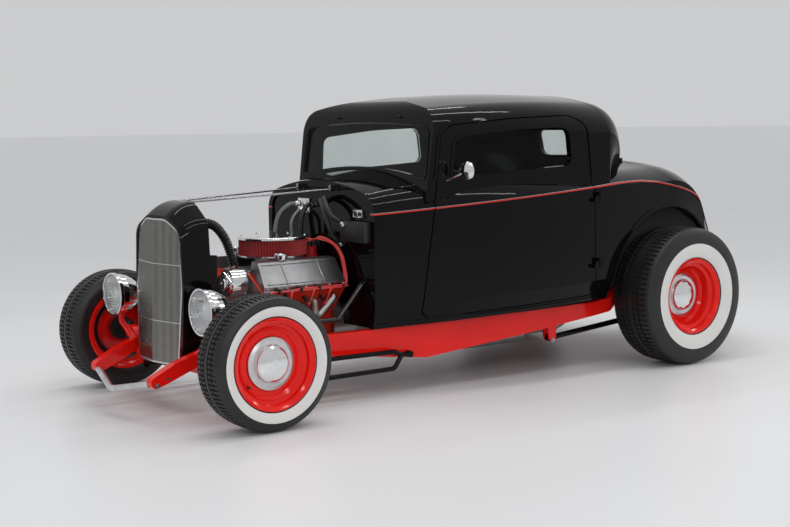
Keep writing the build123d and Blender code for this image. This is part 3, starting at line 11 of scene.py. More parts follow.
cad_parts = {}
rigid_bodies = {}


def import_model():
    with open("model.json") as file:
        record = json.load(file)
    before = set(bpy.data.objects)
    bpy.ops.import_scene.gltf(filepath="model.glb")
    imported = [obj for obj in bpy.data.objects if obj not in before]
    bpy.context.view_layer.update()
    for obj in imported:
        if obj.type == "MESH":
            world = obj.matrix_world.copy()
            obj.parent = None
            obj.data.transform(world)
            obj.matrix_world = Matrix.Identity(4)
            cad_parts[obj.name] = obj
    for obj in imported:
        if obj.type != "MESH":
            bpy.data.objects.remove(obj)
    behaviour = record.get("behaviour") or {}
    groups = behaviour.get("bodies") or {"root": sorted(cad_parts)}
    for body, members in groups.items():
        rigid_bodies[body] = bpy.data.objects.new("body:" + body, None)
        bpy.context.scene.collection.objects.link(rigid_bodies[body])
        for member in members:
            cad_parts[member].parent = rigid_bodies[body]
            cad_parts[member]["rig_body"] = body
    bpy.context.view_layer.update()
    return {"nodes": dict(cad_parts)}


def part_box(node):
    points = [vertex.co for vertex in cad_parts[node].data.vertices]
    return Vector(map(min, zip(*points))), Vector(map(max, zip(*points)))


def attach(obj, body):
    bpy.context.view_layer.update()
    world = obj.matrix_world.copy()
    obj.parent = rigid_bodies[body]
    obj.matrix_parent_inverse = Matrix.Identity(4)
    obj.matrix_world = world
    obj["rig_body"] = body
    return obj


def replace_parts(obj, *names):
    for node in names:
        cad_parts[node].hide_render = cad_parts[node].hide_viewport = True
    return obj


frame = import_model()

bl_info = {
    "name": "Hot Rod Dress",
    "version": (1, 0, 0),
    "blender": (4, 5, 0),
    "location": "3D View > Sidebar > Hot Rod",
    "description": "Paints and trims the packed coupe hot rod and sets it in a plain studio",
    "category": "Object",
}

# The left wheels' middles in metres
FRONT_HUB = (1.567, 0.735, 0.302)
REAR_HUB = (-1.125, 0.700, 0.378)
SIDES = ((1, "left"), (-1, "right"))

LINED_PANELS = ("cowl", "roof", "rear_body", "door_left", "door_right")
PLAIN_PANELS = ("deck_lid", "firewall", "grille_shell")
RED_STEEL = ("frame", "front_axle", "front_spring", "rear_axle")
BLACK_STEEL = ("radius_rods", "rear_links", "fuel_tank")
CHROMED = ("headlamps", "mirror_left", "mirror_right", "rear_springs")
BARE_STEEL = ("tie_rod", "drag_link", "pitman_arm", "driveline", "steering_box")
CORNERS = ("front_left", "front_right", "rear_left", "rear_right")

# The belt stripe's line along the body's raised bead: distance forward and height, in metres
BELT_LINE = (
    (0.793, 0.902), (0.469, 0.926), (-0.008, 0.959), (-0.485, 0.992), (-0.745, 1.010), (-0.913, 1.011),
    (-1.078, 0.991), (-1.259, 0.953), (-1.366, 0.916), (-1.458, 0.852), (-1.540, 0.777), (-1.623, 0.700),
)
# How strongly the body's enamel reflects
BODY_GLOSS = 0.16
# The cabin's rear and front ends, and how far its lining must face the middle to count
CABIN_BACK, CABIN_FRONT, FACES_IN = -0.73, 0.77, 0.35
# The rear wheels' tubs in metres: reach from the wheel's axis, from the middle and from the floor
TUB_REACH, TUB_SIDE, TUB_TOP = 0.47, 0.655, 0.95
# Radii in metres: where a hub cap's dome ends, the edge of every rim and the brake drums
CAP_DOME = 0.0822
RIM = 0.2075
DRUM = 0.165
# Each tyre's width over its walls and how far out its bead lies, in metres
TYRE_SIZES = {"front": (0.203, 0.079), "rear": (0.282, 0.115)}

# The photograph's camera: its place in metres, and its turn as yaw, pitch and roll
CAMERA_PLACE = (4.78548, 6.05221, 1.35230)
CAMERA_TURN = (-2.2081, -0.0998, -0.0132)
# Where the wipers' pivots stand across the roof's front, and the height they stand at, in metres
WIPERS, WIPER_UP = (-0.251, 0.294), 1.375

# From here on places are in millimetres behind the front axle, left of the middle and above the floor
LAMP_BACK = (-46.0, 453.0, 510.0)
CLEANER = (504.0, 0.0, 793.0)
BREATHER = (419.0, 203.0, 690.0)
FIREWALL_FACE = 789.6
STEERING_WHEEL = (1500, 335, 930)
COLUMN_JOINT = (651, 350, 392)
MIRROR = (1194.2, 700, 1108)
TAIL_LAMP = (3470, 310, 524)
# The distributor: how far behind, the height of its towers and the radius that they stand on
DISTRIBUTOR, TOWERS_UP, TOWER_RING = 727, 734, 24
# The bright pipe behind each header: its upper end behind and up, and how far it runs forward and down
PIPE_HEAD, PIPE_RUN = (683, 504), (103, 90)
# Each plug lead: where it leaves the bundle, where its plug is and how high, behind the front axle
PLUG_LEADS = ((345, 276, 531), (468, 394, 529), (572, 512, 508), (694, 610, 504))
LEAD_PITCH = 8.6
SEPARATORS = (340, 463, 567, 704)
# A valve cover's outer slope in section: left and up at its top and foot
COVER_SLOPE = ((226.0, 684.0), (303.0, 573.0))
COVER_RIBS = (402.0, 612.0)
COVER_BOLTS = (285, 395, 505, 640, 722)
# Hoses between the bulkhead and the engine: name, radius, finish and the points they pass
ENGINE_HOSES = (
    ("braided_hose", 13.0, "braid",
     ((781, -178, 934), (735, -205, 928), (694, -238, 878), (676, -250, 800), (668, -235, 720),
      (640, -190, 660))),
    ("chrome_hose", 10.0, "braid",
     ((781, -146, 906), (742, -140, 892), (708, -139, 850), (703, -136, 795), (700, -122, 700),
      (668, -95, 642))),
    ("heater_hose_low", 12.0, "rubber",
     ((789, -62, 930), (745, -55, 928), (716, -58, 872), (712, -64, 800), (706, -76, 700), (672, -84, 642))),
    ("heater_hose_mid", 12.0, "rubber",
     ((789, 30, 948), (746, 74, 962), (716, 146, 918), (712, 186, 850), (734, 196, 790), (789, 190, 742))),
    ("heater_hose_high", 12.0, "rubber",
     ((789, 60, 952), (738, 118, 976), (702, 196, 934), (700, 240, 892), (724, 266, 868), (745, 272, 846))),
)
# The radiator's hoses, from the radiator to the engine
UPPER_HOSE = ((44, 60, 880), (80, 60, 881), (142, 58, 862), (200, 48, 800), (240, 37, 716), (262, 30, 643))
LOWER_HOSE = ((44, -150, 376), (80, -150, 372), (150, -140, 326), (196, -128, 330), (220, -114, 400),
              (222, -86, 466), (222, -62, 498))
# Each hose clamp: its hose, the end it is near, the point it faces and how far in it sits
CLAMPS = ((UPPER_HOSE, 0, 1, 14), (UPPER_HOSE, 5, 4, 12), (LOWER_HOSE, 0, 1, 14), (LOWER_HOSE, 6, 5, 12))
# Small bolt heads on the frame and links: place and the way they face
BOLTS = (
    ((-318, 321, 176), (0, 1, 0)), ((-268, 322, 203), (0, 1, 0)),
    ((1914, 524, 180), (0, 1, 0)), ((971, 465, 198), (0, 1, 0)),
)


class HotRodPaint(bpy.types.PropertyGroup):
    """Colours of the paint, the belt's painted highlight line and the tyres' white band."""
    body: FloatVectorProperty(
        name="Body enamel", description="Colour of the body panels", subtype="COLOR", size=3,
        min=0.0, max=1.0, default=(0.0028, 0.0028, 0.0032))
    running_gear: FloatVectorProperty(
        name="Frame enamel", description="Colour of the frame, axles and wheels", subtype="COLOR", size=3,
        min=0.0, max=1.0, default=(0.80, 0.010, 0.006))
    engine: FloatVectorProperty(
        name="Engine enamel", description="Colour of the block and heads", subtype="COLOR", size=3,
        min=0.0, max=1.0, default=(0.62, 0.030, 0.012))
    stripe: FloatVectorProperty(
        name="Belt stripe", description="Colour of the stripe along the belt", subtype="COLOR", size=3,
        min=0.0, max=1.0, default=(0.60, 0.03, 0.025))
    # A painted highlight: the fine pale line above the stripe stands for the light on the raised bead's top.
    stripe_highlight: FloatVectorProperty(
        name="Stripe highlight", description="Colour of the fine line above the belt stripe", subtype="COLOR",
        size=3, min=0.0, max=1.0, default=(0.62, 0.55, 0.50))
    whitewall: FloatVectorProperty(
        name="Whitewall", description="Colour of the band on each tyre", subtype="COLOR", size=3,
        min=0.0, max=1.0, default=(0.72, 0.715, 0.69))


class HotRodTyres(bpy.types.PropertyGroup):
    """Sizes of the tyres' band and tread."""
    front_band: FloatProperty(
        name="Front band", description="Outer radius of the white band in front", unit="LENGTH",
        subtype="DISTANCE", default=0.257)
    rear_band: FloatProperty(
        name="Rear band", description="Outer radius of the white band behind", unit="LENGTH",
        subtype="DISTANCE", default=0.289)
    tread_depth: FloatProperty(
        name="Tread depth", description="Depth of the tread's grooves", unit="LENGTH", subtype="DISTANCE",
        default=0.006)
    tread_blocks: IntProperty(
        name="Tread blocks", description="Blocks round each tyre", default=84, min=24, max=140)


class HotRodTrim(bpy.types.PropertyGroup):
    """How the seat is stuffed and sewn."""
    pressure: FloatProperty(
        name="Stuffing pressure", description="Cloth pressure that swells the pads", default=4.0,
        min=0.0, max=10.0)
    travel: FloatProperty(
        name="Most travel", description="How far a point of a pad may move as it swells", unit="LENGTH",
        subtype="DISTANCE", default=0.016)
    channels: IntProperty(
        name="Sewn channels", description="Channels across the seat", default=11, min=3, max=24)


class HotRodStudio(bpy.types.PropertyGroup):
    """The floor, the walls' brightness and the lamps."""
    floor: FloatVectorProperty(
        name="Floor", description="Colour of the studio floor", subtype="COLOR", size=3,
        min=0.0, max=1.0, default=(0.78, 0.785, 0.79))
    backdrop: FloatVectorProperty(
        name="Backdrop", description="Colour behind the car", subtype="COLOR", size=3,
        min=0.0, max=1.0, default=(0.60, 0.605, 0.615))
    fill: FloatProperty(
        name="Fill", description="Strength of the light from all round", default=1.12, min=0.0, max=3.0)
    lamp_power: FloatProperty(
        name="Lamp power", description="Power of the overhead lamp", unit="POWER", default=95.0)
    lens: FloatProperty(
        name="Lens", description="Focal length on a 36 mm wide sensor", unit="CAMERA", default=64.66)


# Materials

def bare_material(name):
    """A material with its node lists and its shader."""
    material = bpy.data.materials.new(name)
    material.use_nodes = True
    tree = material.node_tree
    return material, tree.nodes, tree.links, tree.nodes["Principled BSDF"]


def place_noise(nodes, links, scale, detail=4.0, stretch=(1.0, 1.0, 1.0)):
    """Noise laid over the piece by its place, with a stretch along each axis."""
    place = nodes.new("ShaderNodeTexCoord")
    mapping = nodes.new("ShaderNodeMapping")
    mapping.inputs["Scale"].default_value = stretch
    noise = nodes.new("ShaderNodeTexNoise")
    noise.inputs["Scale"].default_value = scale
    noise.inputs["Detail"].default_value = detail
    links.new(place.outputs["Object"], mapping.inputs["Vector"])
    links.new(mapping.outputs["Vector"], noise.inputs["Vector"])
    return noise


def mottle(nodes, links, shader, scale, dark, light, low=0.35, high=0.65):
    """Spreads two near colours over the piece in soft patches and hands back their noise."""
    noise = place_noise(nodes, links, scale)
    ramp = nodes.new("ShaderNodeValToRGB")
    for stop, position, colour in zip(ramp.color_ramp.elements, (low, high), (dark, light)):
        stop.position = position
        stop.color = (*colour, 1.0)
    links.new(noise.outputs["Fac"], ramp.inputs["Fac"])
    links.new(ramp.outputs["Color"], shader.inputs["Base Color"])
    return noise


def vary_roughness(nodes, links, pattern, shader, low, high):
    """Spreads a pattern's 0 to 1 over a range of roughness."""
    spread = nodes.new("ShaderNodeMapRange")
    spread.inputs["To Min"].default_value = low
    spread.inputs["To Max"].default_value = high
    links.new(pattern.outputs["Fac"], spread.inputs["Value"])
    links.new(spread.outputs["Result"], shader.inputs["Roughness"])


def combine(nodes, links, operation, first, second):
    """A Math node fed on each side by a socket or a number; hands back its output."""
    node = nodes.new("ShaderNodeMath")
    node.operation = operation
    for side, value in enumerate((first, second)):
        if isinstance(value, float):
            node.inputs[side].default_value = value
        else:
            links.new(value, node.inputs[side])
    return node.outputs[0]


def band_mask(nodes, links, value, low, high):
    """1 where a socket's value lies between two limits."""
    over = combine(nodes, links, "GREATER_THAN", value, low)
    under = combine(nodes, links, "LESS_THAN", value, high)
    return combine(nodes, links, "MULTIPLY", over, under)


def raise_bumps(nodes, links, pattern, shader, strength, depth):
    """Raises the surface by a pattern."""
    bump = nodes.new("ShaderNodeBump")
    bump.inputs["Strength"].default_value = strength
    bump.inputs["Distance"].default_value = depth
    links.new(pattern.outputs["Fac"], bump.inputs["Height"])
    links.new(bump.outputs["Normal"], shader.inputs["Normal"])


def shade(colour, share):
    """A colour made darker or lighter."""
    return tuple(min(1.0, c * share) for c in colour)


def enamel(name, colour, roughness=0.08, peel=0.05, gloss=0.5):
    """Gloss paint with faint dust in its colour and a fine ripple in its surface."""
    material, nodes, links, shader = bare_material(name)
    dust = mottle(nodes, links, shader, 5.0, shade(colour, 0.94), shade(colour, 1.05), 0.3, 0.7)
    vary_roughness(nodes, links, dust, shader, roughness * 0.8, roughness * 1.25)
    shader.inputs["Specular IOR Level"].default_value = gloss
    ripple = place_noise(nodes, links, 420.0, 2.0)
    raise_bumps(nodes, links, ripple, shader, peel, 0.0004)
    return material


def plated(name, colour=(0.83, 0.84, 0.85), roughness=0.06):
    """Mirror bright plating with a breath of haze."""
    material, nodes, links, shader = bare_material(name)
    shader.inputs["Metallic"].default_value = 1.0
    haze = mottle(nodes, links, shader, 26.0, shade(colour, 0.94), colour)
    vary_roughness(nodes, links, haze, shader, roughness * 0.5, roughness * 1.8)
    return material


def cast_metal(name, colour, roughness, grain=260.0, stretch=(1.0, 1.0, 1.0), strength=0.18):
    """Cast or drawn metal with grain, either even or drawn out along an axis."""
    material, nodes, links, shader = bare_material(name)
    shader.inputs["Metallic"].default_value = 1.0
    grain_noise = place_noise(nodes, links, grain, 6.0, stretch)
    mottle(nodes, links, shader, 14.0, shade(colour, 0.86), shade(colour, 1.06))
    vary_roughness(nodes, links, grain_noise, shader, roughness * 0.75, roughness * 1.3)
    raise_bumps(nodes, links, grain_noise, shader, strength, 0.0005)
    return material


def soft_black(name, colour, roughness, grain, strength, sheen=0.0, patchy=0.22):
    """Rubber, trim or moulded plastic: dull, with a fine grain."""
    material, nodes, links, shader = bare_material(name)
    grain_noise = place_noise(nodes, links, grain, 5.0)
    cloud = mottle(nodes, links, shader, 8.0, shade(colour, 1 - patchy), shade(colour, 1 + patchy))
    vary_roughness(nodes, links, cloud, shader, roughness * 0.85, min(1.0, roughness * 1.12))
    shader.inputs["Sheen Weight"].default_value = sheen
    raise_bumps(nodes, links, grain_noise, shader, strength, 0.0006)
    return material


def clear_glass(name, tint):
    """Thin window glass with a faint film on it."""
    material, nodes, links, shader = bare_material(name)
    shader.inputs["Transmission Weight"].default_value = 1.0
    shader.inputs["IOR"].default_value = 1.16
    film = mottle(nodes, links, shader, 5.0, shade(tint, 0.97), tint)
    vary_roughness(nodes, links, film, shader, 0.006, 0.02)
    return material


def fluted_glass(name, tint):
    """Lamp glass with level flutes and a fine upright wave."""
    material, nodes, links, shader = bare_material(name)
    shader.inputs["Base Color"].default_value = (*tint, 1.0)
    shader.inputs["Transmission Weight"].default_value = 0.9
    shader.inputs["Roughness"].default_value = 0.05
    shader.inputs["IOR"].default_value = 1.45
    place = nodes.new("ShaderNodeTexCoord")
    flutes = nodes.new("ShaderNodeTexWave")
    flutes.bands_direction = "Z"
    flutes.inputs["Scale"].default_value = 22.0
    flutes.inputs["Distortion"].default_value = 0.6
    links.new(place.outputs["Object"], flutes.inputs["Vector"])
    raise_bumps(nodes, links, flutes, shader, 0.6, 0.002)
    return material


def braided(name, colour):
    """Woven steel sleeve: a checker in its colour, roughness and surface, its sunken cells painted darker as
    painted shade between the strands.
    """
    material, nodes, links, shader = bare_material(name)
    shader.inputs["Metallic"].default_value = 0.85
    place = nodes.new("ShaderNodeTexCoord")
    turn = nodes.new("ShaderNodeMapping")
    turn.inputs["Rotation"].default_value = (0.5, 0.6, 0.8)
    links.new(place.outputs["Object"], turn.inputs["Vector"])
    weave = nodes.new("ShaderNodeTexChecker")
    weave.inputs["Scale"].default_value = 420.0
    weave.inputs["Color1"].default_value = (*colour, 1.0)
    # The darker second colour falls on the sunken cells: painted shade between the strands.
    weave.inputs["Color2"].default_value = (*shade(colour, 0.35), 1.0)
    links.new(turn.outputs["Vector"], weave.inputs["Vector"])
    links.new(weave.outputs["Color"], shader.inputs["Base Color"])
    vary_roughness(nodes, links, weave, shader, 0.3, 0.5)
    raise_bumps(nodes, links, weave, shader, 0.5, 0.0008)
    return material


def striped_enamel(name, colour, stripe, edge):
    """The body enamel with the belt stripe and, above it, a fine pale line painted as the highlight on the
    raised bead, laid along the belt's height.
    """
    material = enamel(name, colour, roughness=0.045, peel=0.03, gloss=BODY_GLOSS)
    nodes, links = material.node_tree.nodes, material.node_tree.links
    paint = nodes["Principled BSDF"].inputs["Base Color"]
    colour = paint.links[0].from_socket
    place = nodes.new("ShaderNodeTexCoord")
    parts = nodes.new("ShaderNodeSeparateXYZ")
    links.new(place.outputs["Object"], parts.inputs["Vector"])
    first, last = BELT_LINE[-1][0], BELT_LINE[0][0]
    low, high = 0.6, 1.1
    along = nodes.new("ShaderNodeMapRange")
    along.inputs["From Min"].default_value = first
    along.inputs["From Max"].default_value = last
    links.new(parts.outputs["X"], along.inputs["Value"])
    line = nodes.new("ShaderNodeFloatCurve")
    points = line.mapping.curves[0].points
    shares = sorted(((x - first) / (last - first), (z - low) / (high - low)) for x, z in BELT_LINE)
    points[0].location = shares[0]
    points[1].location = shares[-1]
    for share in shares[1:-1]:
        points.new(*share)
    line.mapping.update()
    links.new(along.outputs["Result"], line.inputs["Value"])
    belt = nodes.new("ShaderNodeMapRange")
    belt.inputs["To Min"].default_value = low
    belt.inputs["To Max"].default_value = high
    links.new(line.outputs["Value"], belt.inputs["Value"])
    above = combine(nodes, links, "SUBTRACT", parts.outputs["Z"], belt.outputs["Result"])
    between_ends = band_mask(nodes, links, parts.outputs["X"], first, last + 0.001)
    # The second band is the pale line painted as the bead's highlight.
    for bottom, top, tone in ((-0.0030, 0.0026, stripe), (0.0044, 0.0058, edge)):
        line_mask = band_mask(nodes, links, above, bottom, top)
        mix = nodes.new("ShaderNodeMix")
        mix.data_type = "RGBA"
        links.new(combine(nodes, links, "MULTIPLY", line_mask, between_ends), mix.inputs["Factor"])
        links.new(colour, mix.inputs[6])
        mix.inputs[7].default_value = (*tone, 1.0)
        colour = mix.outputs[2]
    links.new(colour, paint)
    return material


def wear(node, material):
    """Gives a CAD node its material."""
    for slot in frame["nodes"][node].material_slots:
        slot.material = material


# Pieces

def finish_piece(name, bm, materials, smooth_angle=35.0):
    """Turns a bmesh into a piece with its materials, smooth except at sharp edges."""
    mesh = bpy.data.meshes.new(name)
    bm.to_mesh(mesh)
    bm.free()
    for material in materials:
        mesh.materials.append(material)
    mesh.shade_smooth()
    mesh.set_sharp_from_angle(angle=math.radians(smooth_angle))
    piece = bpy.data.objects.new(name, mesh)
    bpy.context.scene.collection.objects.link(piece)
    return piece


def spot(behind, left, up):
    """A place from millimetres behind the front axle, left of the middle and above the floor."""
    return Vector((FRONT_HUB[0] - behind / 1000, left / 1000, up / 1000))


def on_side(place, side):
    """A left-hand place in millimetres, or the same on the right where side is -1."""
    return spot(place[0], place[1] * side, place[2])


def behind_axle(place):
    """How many millimetres a place lies behind the front axle."""
    return (FRONT_HUB[0] - place.x) * 1000


def hub(corner):
    """A wheel's middle, and 1 on the left or -1 on the right."""
    side = 1 if corner.endswith("left") else -1
    along, across, up = FRONT_HUB if corner.startswith("front") else REAR_HUB
    return (along, across * side, up), side


def off_axis(place, middle):
    """How far a place lies from the axis of a wheel."""
    return math.hypot(place.x - middle[0], place.z - middle[2])


def mount(piece, body="chassis"):
    """Makes the piece move with a body."""
    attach(piece, body)
    return piece


def skin(node, materials, choose):
    """A copy of a CAD node that stands for it, its faces' materials chosen by place and facing.

    Its triangles stay loose, so that it keeps the node's own smooth and sharp edges."""
    source = frame["nodes"][node]
    mesh = source.data.copy()
    mesh.name = node + "_skin"
    mesh.materials.clear()
    for material in materials:
        mesh.materials.append(material)
    for face in mesh.polygons:
        face.material_index = choose(face.center, face.normal)
    piece = bpy.data.objects.new(node + "_skin", mesh)
    bpy.context.scene.collection.objects.link(piece)
    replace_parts(piece, node)
    return mount(piece, source["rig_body"])


def looks_inside(centre, normal):
    """1 on faces that look into the cabin or line the rear wheels' tubs, 0 on all others."""
    if off_axis(centre, REAR_HUB) < TUB_REACH and abs(centre.y) < TUB_SIDE and centre.z < TUB_TOP:
        return 1
    if not CABIN_BACK < centre.x < CABIN_FRONT:
        return 0
    inward = Vector((min(max(centre.x, -0.45), 0.35), 0.0, min(max(centre.z, 0.60), 1.15))) - centre
    return 1 if inward.dot(normal) > FACES_IN * inward.length else 0


def smooth_line(points, steps):
    """Points along the smooth curve that passes through the given ones."""
    last = len(points) - 1
    line = []
    for index in range(last):
        p0, p1, p2, p3 = (points[min(max(index + k, 0), last)] for k in (-1, 0, 1, 2))
        for step in range(steps):
            t = step / steps
            line.append((2 * p1 + (p2 - p0) * t + (2 * p0 - 5 * p1 + 4 * p2 - p3) * t ** 2
                         + (3 * p1 - p0 - 3 * p2 + p3) * t ** 3) / 2)
    line.append(points[-1])
    return line


def add_tube(bm, line, radius, sides):
    """A round tube drawn out along a line, its radius a number or a function of the distance along it."""
    normal = (line[1] - line[0]).normalized().orthogonal()
    run = 0.0
    ring = []
    section = None
    for index, point in enumerate(line):
        before = line[max(index - 1, 0)]
        after = line[min(index + 1, len(line) - 1)]
        along = (after - before).normalized()
        normal = (normal - along * normal.dot(along)).normalized()
        run += (point - before).length
        reach = radius(run) if callable(radius) else radius
        turn = Matrix((normal.cross(along), normal, along)).transposed().to_4x4()
        former = section
        section = Matrix.Translation(point) @ turn @ Matrix.Diagonal((reach, reach, 1.0, 1.0))
        if former is None:
            made = bmesh.ops.create_circle(bm, cap_ends=True, segments=sides, radius=1.0, matrix=section)
            ring = list({edge for vert in made["verts"] for edge in vert.link_edges})
            continue
        made = bmesh.ops.extrude_edge_only(bm, edges=ring)["geom"]
        verts = [item for item in made if isinstance(item, bmesh.types.BMVert)]
        new = set(verts)
        ring = [item for item in made if isinstance(item, bmesh.types.BMEdge) and new.issuperset(item.verts)]
        bmesh.ops.transform(bm, matrix=section @ former.inverted(), verts=verts)
    bmesh.ops.edgeloop_fill(bm, edges=ring)


def add_turned(bm, profile, origin, axis, steps=32):
    """A section of (distance along the axis, radius) points in millimetres, turned about the axis."""
    known = set(bm.verts)
    square = Vector(axis).to_track_quat("Z", "Y").to_matrix()
    verts = [bm.verts.new(origin + square @ Vector((r / 1000, 0, out / 1000))) for out, r in profile]
    edges = [bm.edges.new(pair) for pair in zip(verts, verts[1:])]
    bmesh.ops.spin(
        bm, geom=verts + edges, cent=origin, axis=axis, angle=math.tau, steps=steps, use_merge=True)
    bmesh.ops.remove_doubles(bm, verts=[vert for vert in bm.verts if vert not in known], dist=0.00002)


def tinted(bm, index, add, *given, **more):
    """Adds a shape to a bmesh and gives its faces a material."""
    known = set(bm.faces)
    add(bm, *given, **more)
    for face in bm.faces:
        if face not in known:
            face.material_index = index


def done(name, bm, materials, body="chassis"):
    """A finished detail piece that moves with a body."""
    bmesh.ops.recalc_face_normals(bm, faces=bm.faces)
    return mount(finish_piece(name, bm, materials), body)


def add_block(bm, place, round_off):
    """A block with rounded edges: a unit cube set in its place and size by a matrix."""
    made = bmesh.ops.create_cube(bm, size=1.0, matrix=place)
    edges = list({edge for vert in made["verts"] for edge in vert.link_edges})
    bmesh.ops.bevel(bm, geom=edges, offset=round_off, offset_type="OFFSET", segments=2, profile=0.5,
                    affect="EDGES", material=-1)


def add_bar(bm, start, end, out, width, proud):
    """A low rib between two places, standing out along a direction."""
    along = (end - start).normalized()
    out = (Vector(out) - along * along.dot(Vector(out))).normalized()
    across = along.cross(out)
    turn = Matrix((across, along, out)).transposed().to_4x4()
    scale = Matrix.Diagonal((width, (end - start).length, proud, 1.0))
    add_block(bm, Matrix.Translation((start + end) / 2) @ turn @ scale, proud * 0.3)


def add_bolt(bm, place, axis, radius, height):
    """A six-sided bolt head on its washer, its foot at the place."""
    seat = Matrix.Translation(place) @ Vector(axis).to_track_quat("Z", "Y").to_matrix().to_4x4()
    washer = height * 0.25
    for sides, reach, start, tall in ((24, radius * 1.35, 0.0, washer), (6, radius, washer, height - washer)):
        bmesh.ops.create_cone(
            bm, cap_ends=True, segments=sides, radius1=reach / 1000, radius2=reach * 0.95 / 1000,
            depth=tall / 1000, matrix=seat @ Matrix.Translation((0, 0, (start + tall / 2) / 1000)))


def add_box(bm, low, high, round_off):
    """A box between two corners with rounded edges."""
    add_block(bm, Matrix.Translation((low + high) / 2) @ Matrix.Diagonal((*(high - low), 1.0)), round_off)


def touch(node, start, towards):
    """Where a ray from a point meets a CAD node."""
    mesh = frame["nodes"][node].data
    faces = [face.vertices for face in mesh.polygons]
    tree = BVHTree.FromPolygons([vert.co for vert in mesh.vertices], faces)
    place = tree.ray_cast(start, towards)[0]
    if place is None:
        raise RuntimeError("nothing of " + node + " lies there")
    return place


def tyre_profile(radius, half, bead, band, depth):
    """The tyre's section as (offset outward, radius) points, its grooves cut in."""
    edge = half * 0.78
    gap = 0.004
    points = [-edge]
    for share in (-0.52, -0.18, 0.18, 0.52):
        points += [edge * share - gap, edge * share + gap]
    points.append(edge)
    crown = []
    for index, out in enumerate(points):
        top = radius - 0.005 * (out / edge) ** 2
        crown.append((out, top))
        if index % 2 == 1 and index < len(points) - 1:
            crown.append((out + gap * 0.3, top - depth))
            crown.append((points[index + 1] - gap * 0.3, top - depth))
    wall = [
        (half * 0.90, radius - 0.012), (half * 0.97, radius - 0.030), (half, band + 0.010),
        (half + 0.0002, band + 0.002), (half + 0.0022, band), (half + 0.0016, (band + RIM) / 2 + 0.012),
        (half - 0.006, RIM + 0.016), (half - 0.012, RIM + 0.006), (bead + 0.006, RIM - 0.001),
        (bead, RIM - 0.006),
    ]
    return crown + wall + [(-out, r) for out, r in reversed(wall)]


def treaded_tyre(corner, band, settings, rubber, white):
    """A tyre turned from its section, with tread blocks and the white band."""
    centre, side = hub(corner)
    radius = centre[2]
    width, bead = TYRE_SIZES[corner.split("_")[0]]
    half = width / 2
    bm = bmesh.new()
    profile = tyre_profile(radius, half, bead, band, settings.tread_depth)
    turned = [bm.verts.new((centre[0], centre[1] + out * side, centre[2] + r)) for out, r in profile]
    edges = [bm.edges.new((turned[i], turned[(i + 1) % len(turned)])) for i in range(len(turned))]
    steps = settings.tread_blocks * 2
    bmesh.ops.spin(
        bm, geom=turned + edges, cent=centre, axis=(0, 1, 0), angle=math.tau, steps=steps, use_merge=True)
    bmesh.ops.remove_doubles(bm, verts=bm.verts, dist=0.00002)
    bmesh.ops.recalc_face_normals(bm, faces=bm.faces)
    cuts = []
    for face in bm.faces:
        middle = face.calc_center_median()
        out = (middle.y - centre[1]) * side
        reach = off_axis(middle, centre)
        turn = math.atan2(middle.z - centre[2], middle.x - centre[0]) / math.tau * steps
        face.material_index = 1 if out > half - 0.014 and RIM + 0.004 < reach < band + 0.0005 else 0
        on_rib = abs(out) / (half * 0.78) > 0.24 and reach > radius - 0.007 and face.calc_area() > 0.0002
        if on_rib and int(round(turn - 0.5)) % 2 == (0 if out > 0 else 1):
            cuts.append(face)
    bmesh.ops.inset_individual(bm, faces=cuts, thickness=0.0022, depth=-settings.tread_depth * 0.8)
    piece = finish_piece("treaded_tyre_" + corner, bm, [rubber, white], 32.0)
    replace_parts(piece, "tyre_" + corner)
    mount(piece, "wheel_" + corner)


def stuffed(name, low, high, face_axis, face_out, settings, material):
    """A cushion swelled by cloth pressure from a smaller block, then drawn in along sewn channels."""
    bm = bmesh.new()
    add_box(bm, low + Vector((0.008, 0.008, 0.004)), high - Vector((0.008, 0.008, 0.008)), 0.034)
    piece = finish_piece(name, bm, [material], 80.0)
    bpy.context.view_layer.objects.active = piece
    remesh = piece.modifiers.new("even", "REMESH")
    remesh.mode = "VOXEL"
    remesh.voxel_size = 0.012
    bake(piece)
    swell(piece, settings)
    subdivide = piece.modifiers.new("smooth", "SUBSURF")
    subdivide.levels = 1
    subdivide.render_levels = 1
    bake(piece)
    pitch = (high.y - low.y) / settings.channels
    bm = bmesh.new()
    bm.from_mesh(piece.data)
    bm.normal_update()
    moves = []
    for vert in bm.verts:
        facing = vert.normal[face_axis] * face_out
        if facing > 0.25:
            gap = abs((vert.co.y - low.y + pitch / 2) % pitch - pitch / 2)
            sink = 0.009 * min(1.0, facing * 1.6) * math.exp(-(gap / 0.009) ** 2)
            moves.append((vert, vert.normal * -sink))
    for vert, move in moves:
        vert.co += move
    bm.to_mesh(piece.data)
    bm.free()
    piece.data.shade_smooth()
    return mount(piece)


def bake(piece):
    """Puts a piece's modifiers into its mesh."""
    seen = piece.evaluated_get(bpy.context.evaluated_depsgraph_get())
    mesh = bpy.data.meshes.new_from_object(seen)
    piece.modifiers.clear()
    piece.data = mesh


def swell(piece, settings):
    """Runs the pad's cloth for twenty frames and keeps each point's travel within the limit."""
    start = [vert.co.copy() for vert in piece.data.vertices]
    cloth = piece.modifiers.new("stuffing", "CLOTH")
    cloth.settings.use_pressure = True
    cloth.settings.uniform_pressure_force = settings.pressure
    cloth.settings.effector_weights.gravity = 0.0
    cloth.point_cache.frame_start = 1
    cloth.point_cache.frame_end = 20
    for step in range(1, 21):
        bpy.context.scene.frame_set(step)
    bake(piece)
    bpy.context.scene.frame_set(1)
    for vert, from_place in zip(piece.data.vertices, start):
        move = vert.co - from_place
        if move.length > settings.travel:
            vert.co = from_place + move * (settings.travel / move.length)


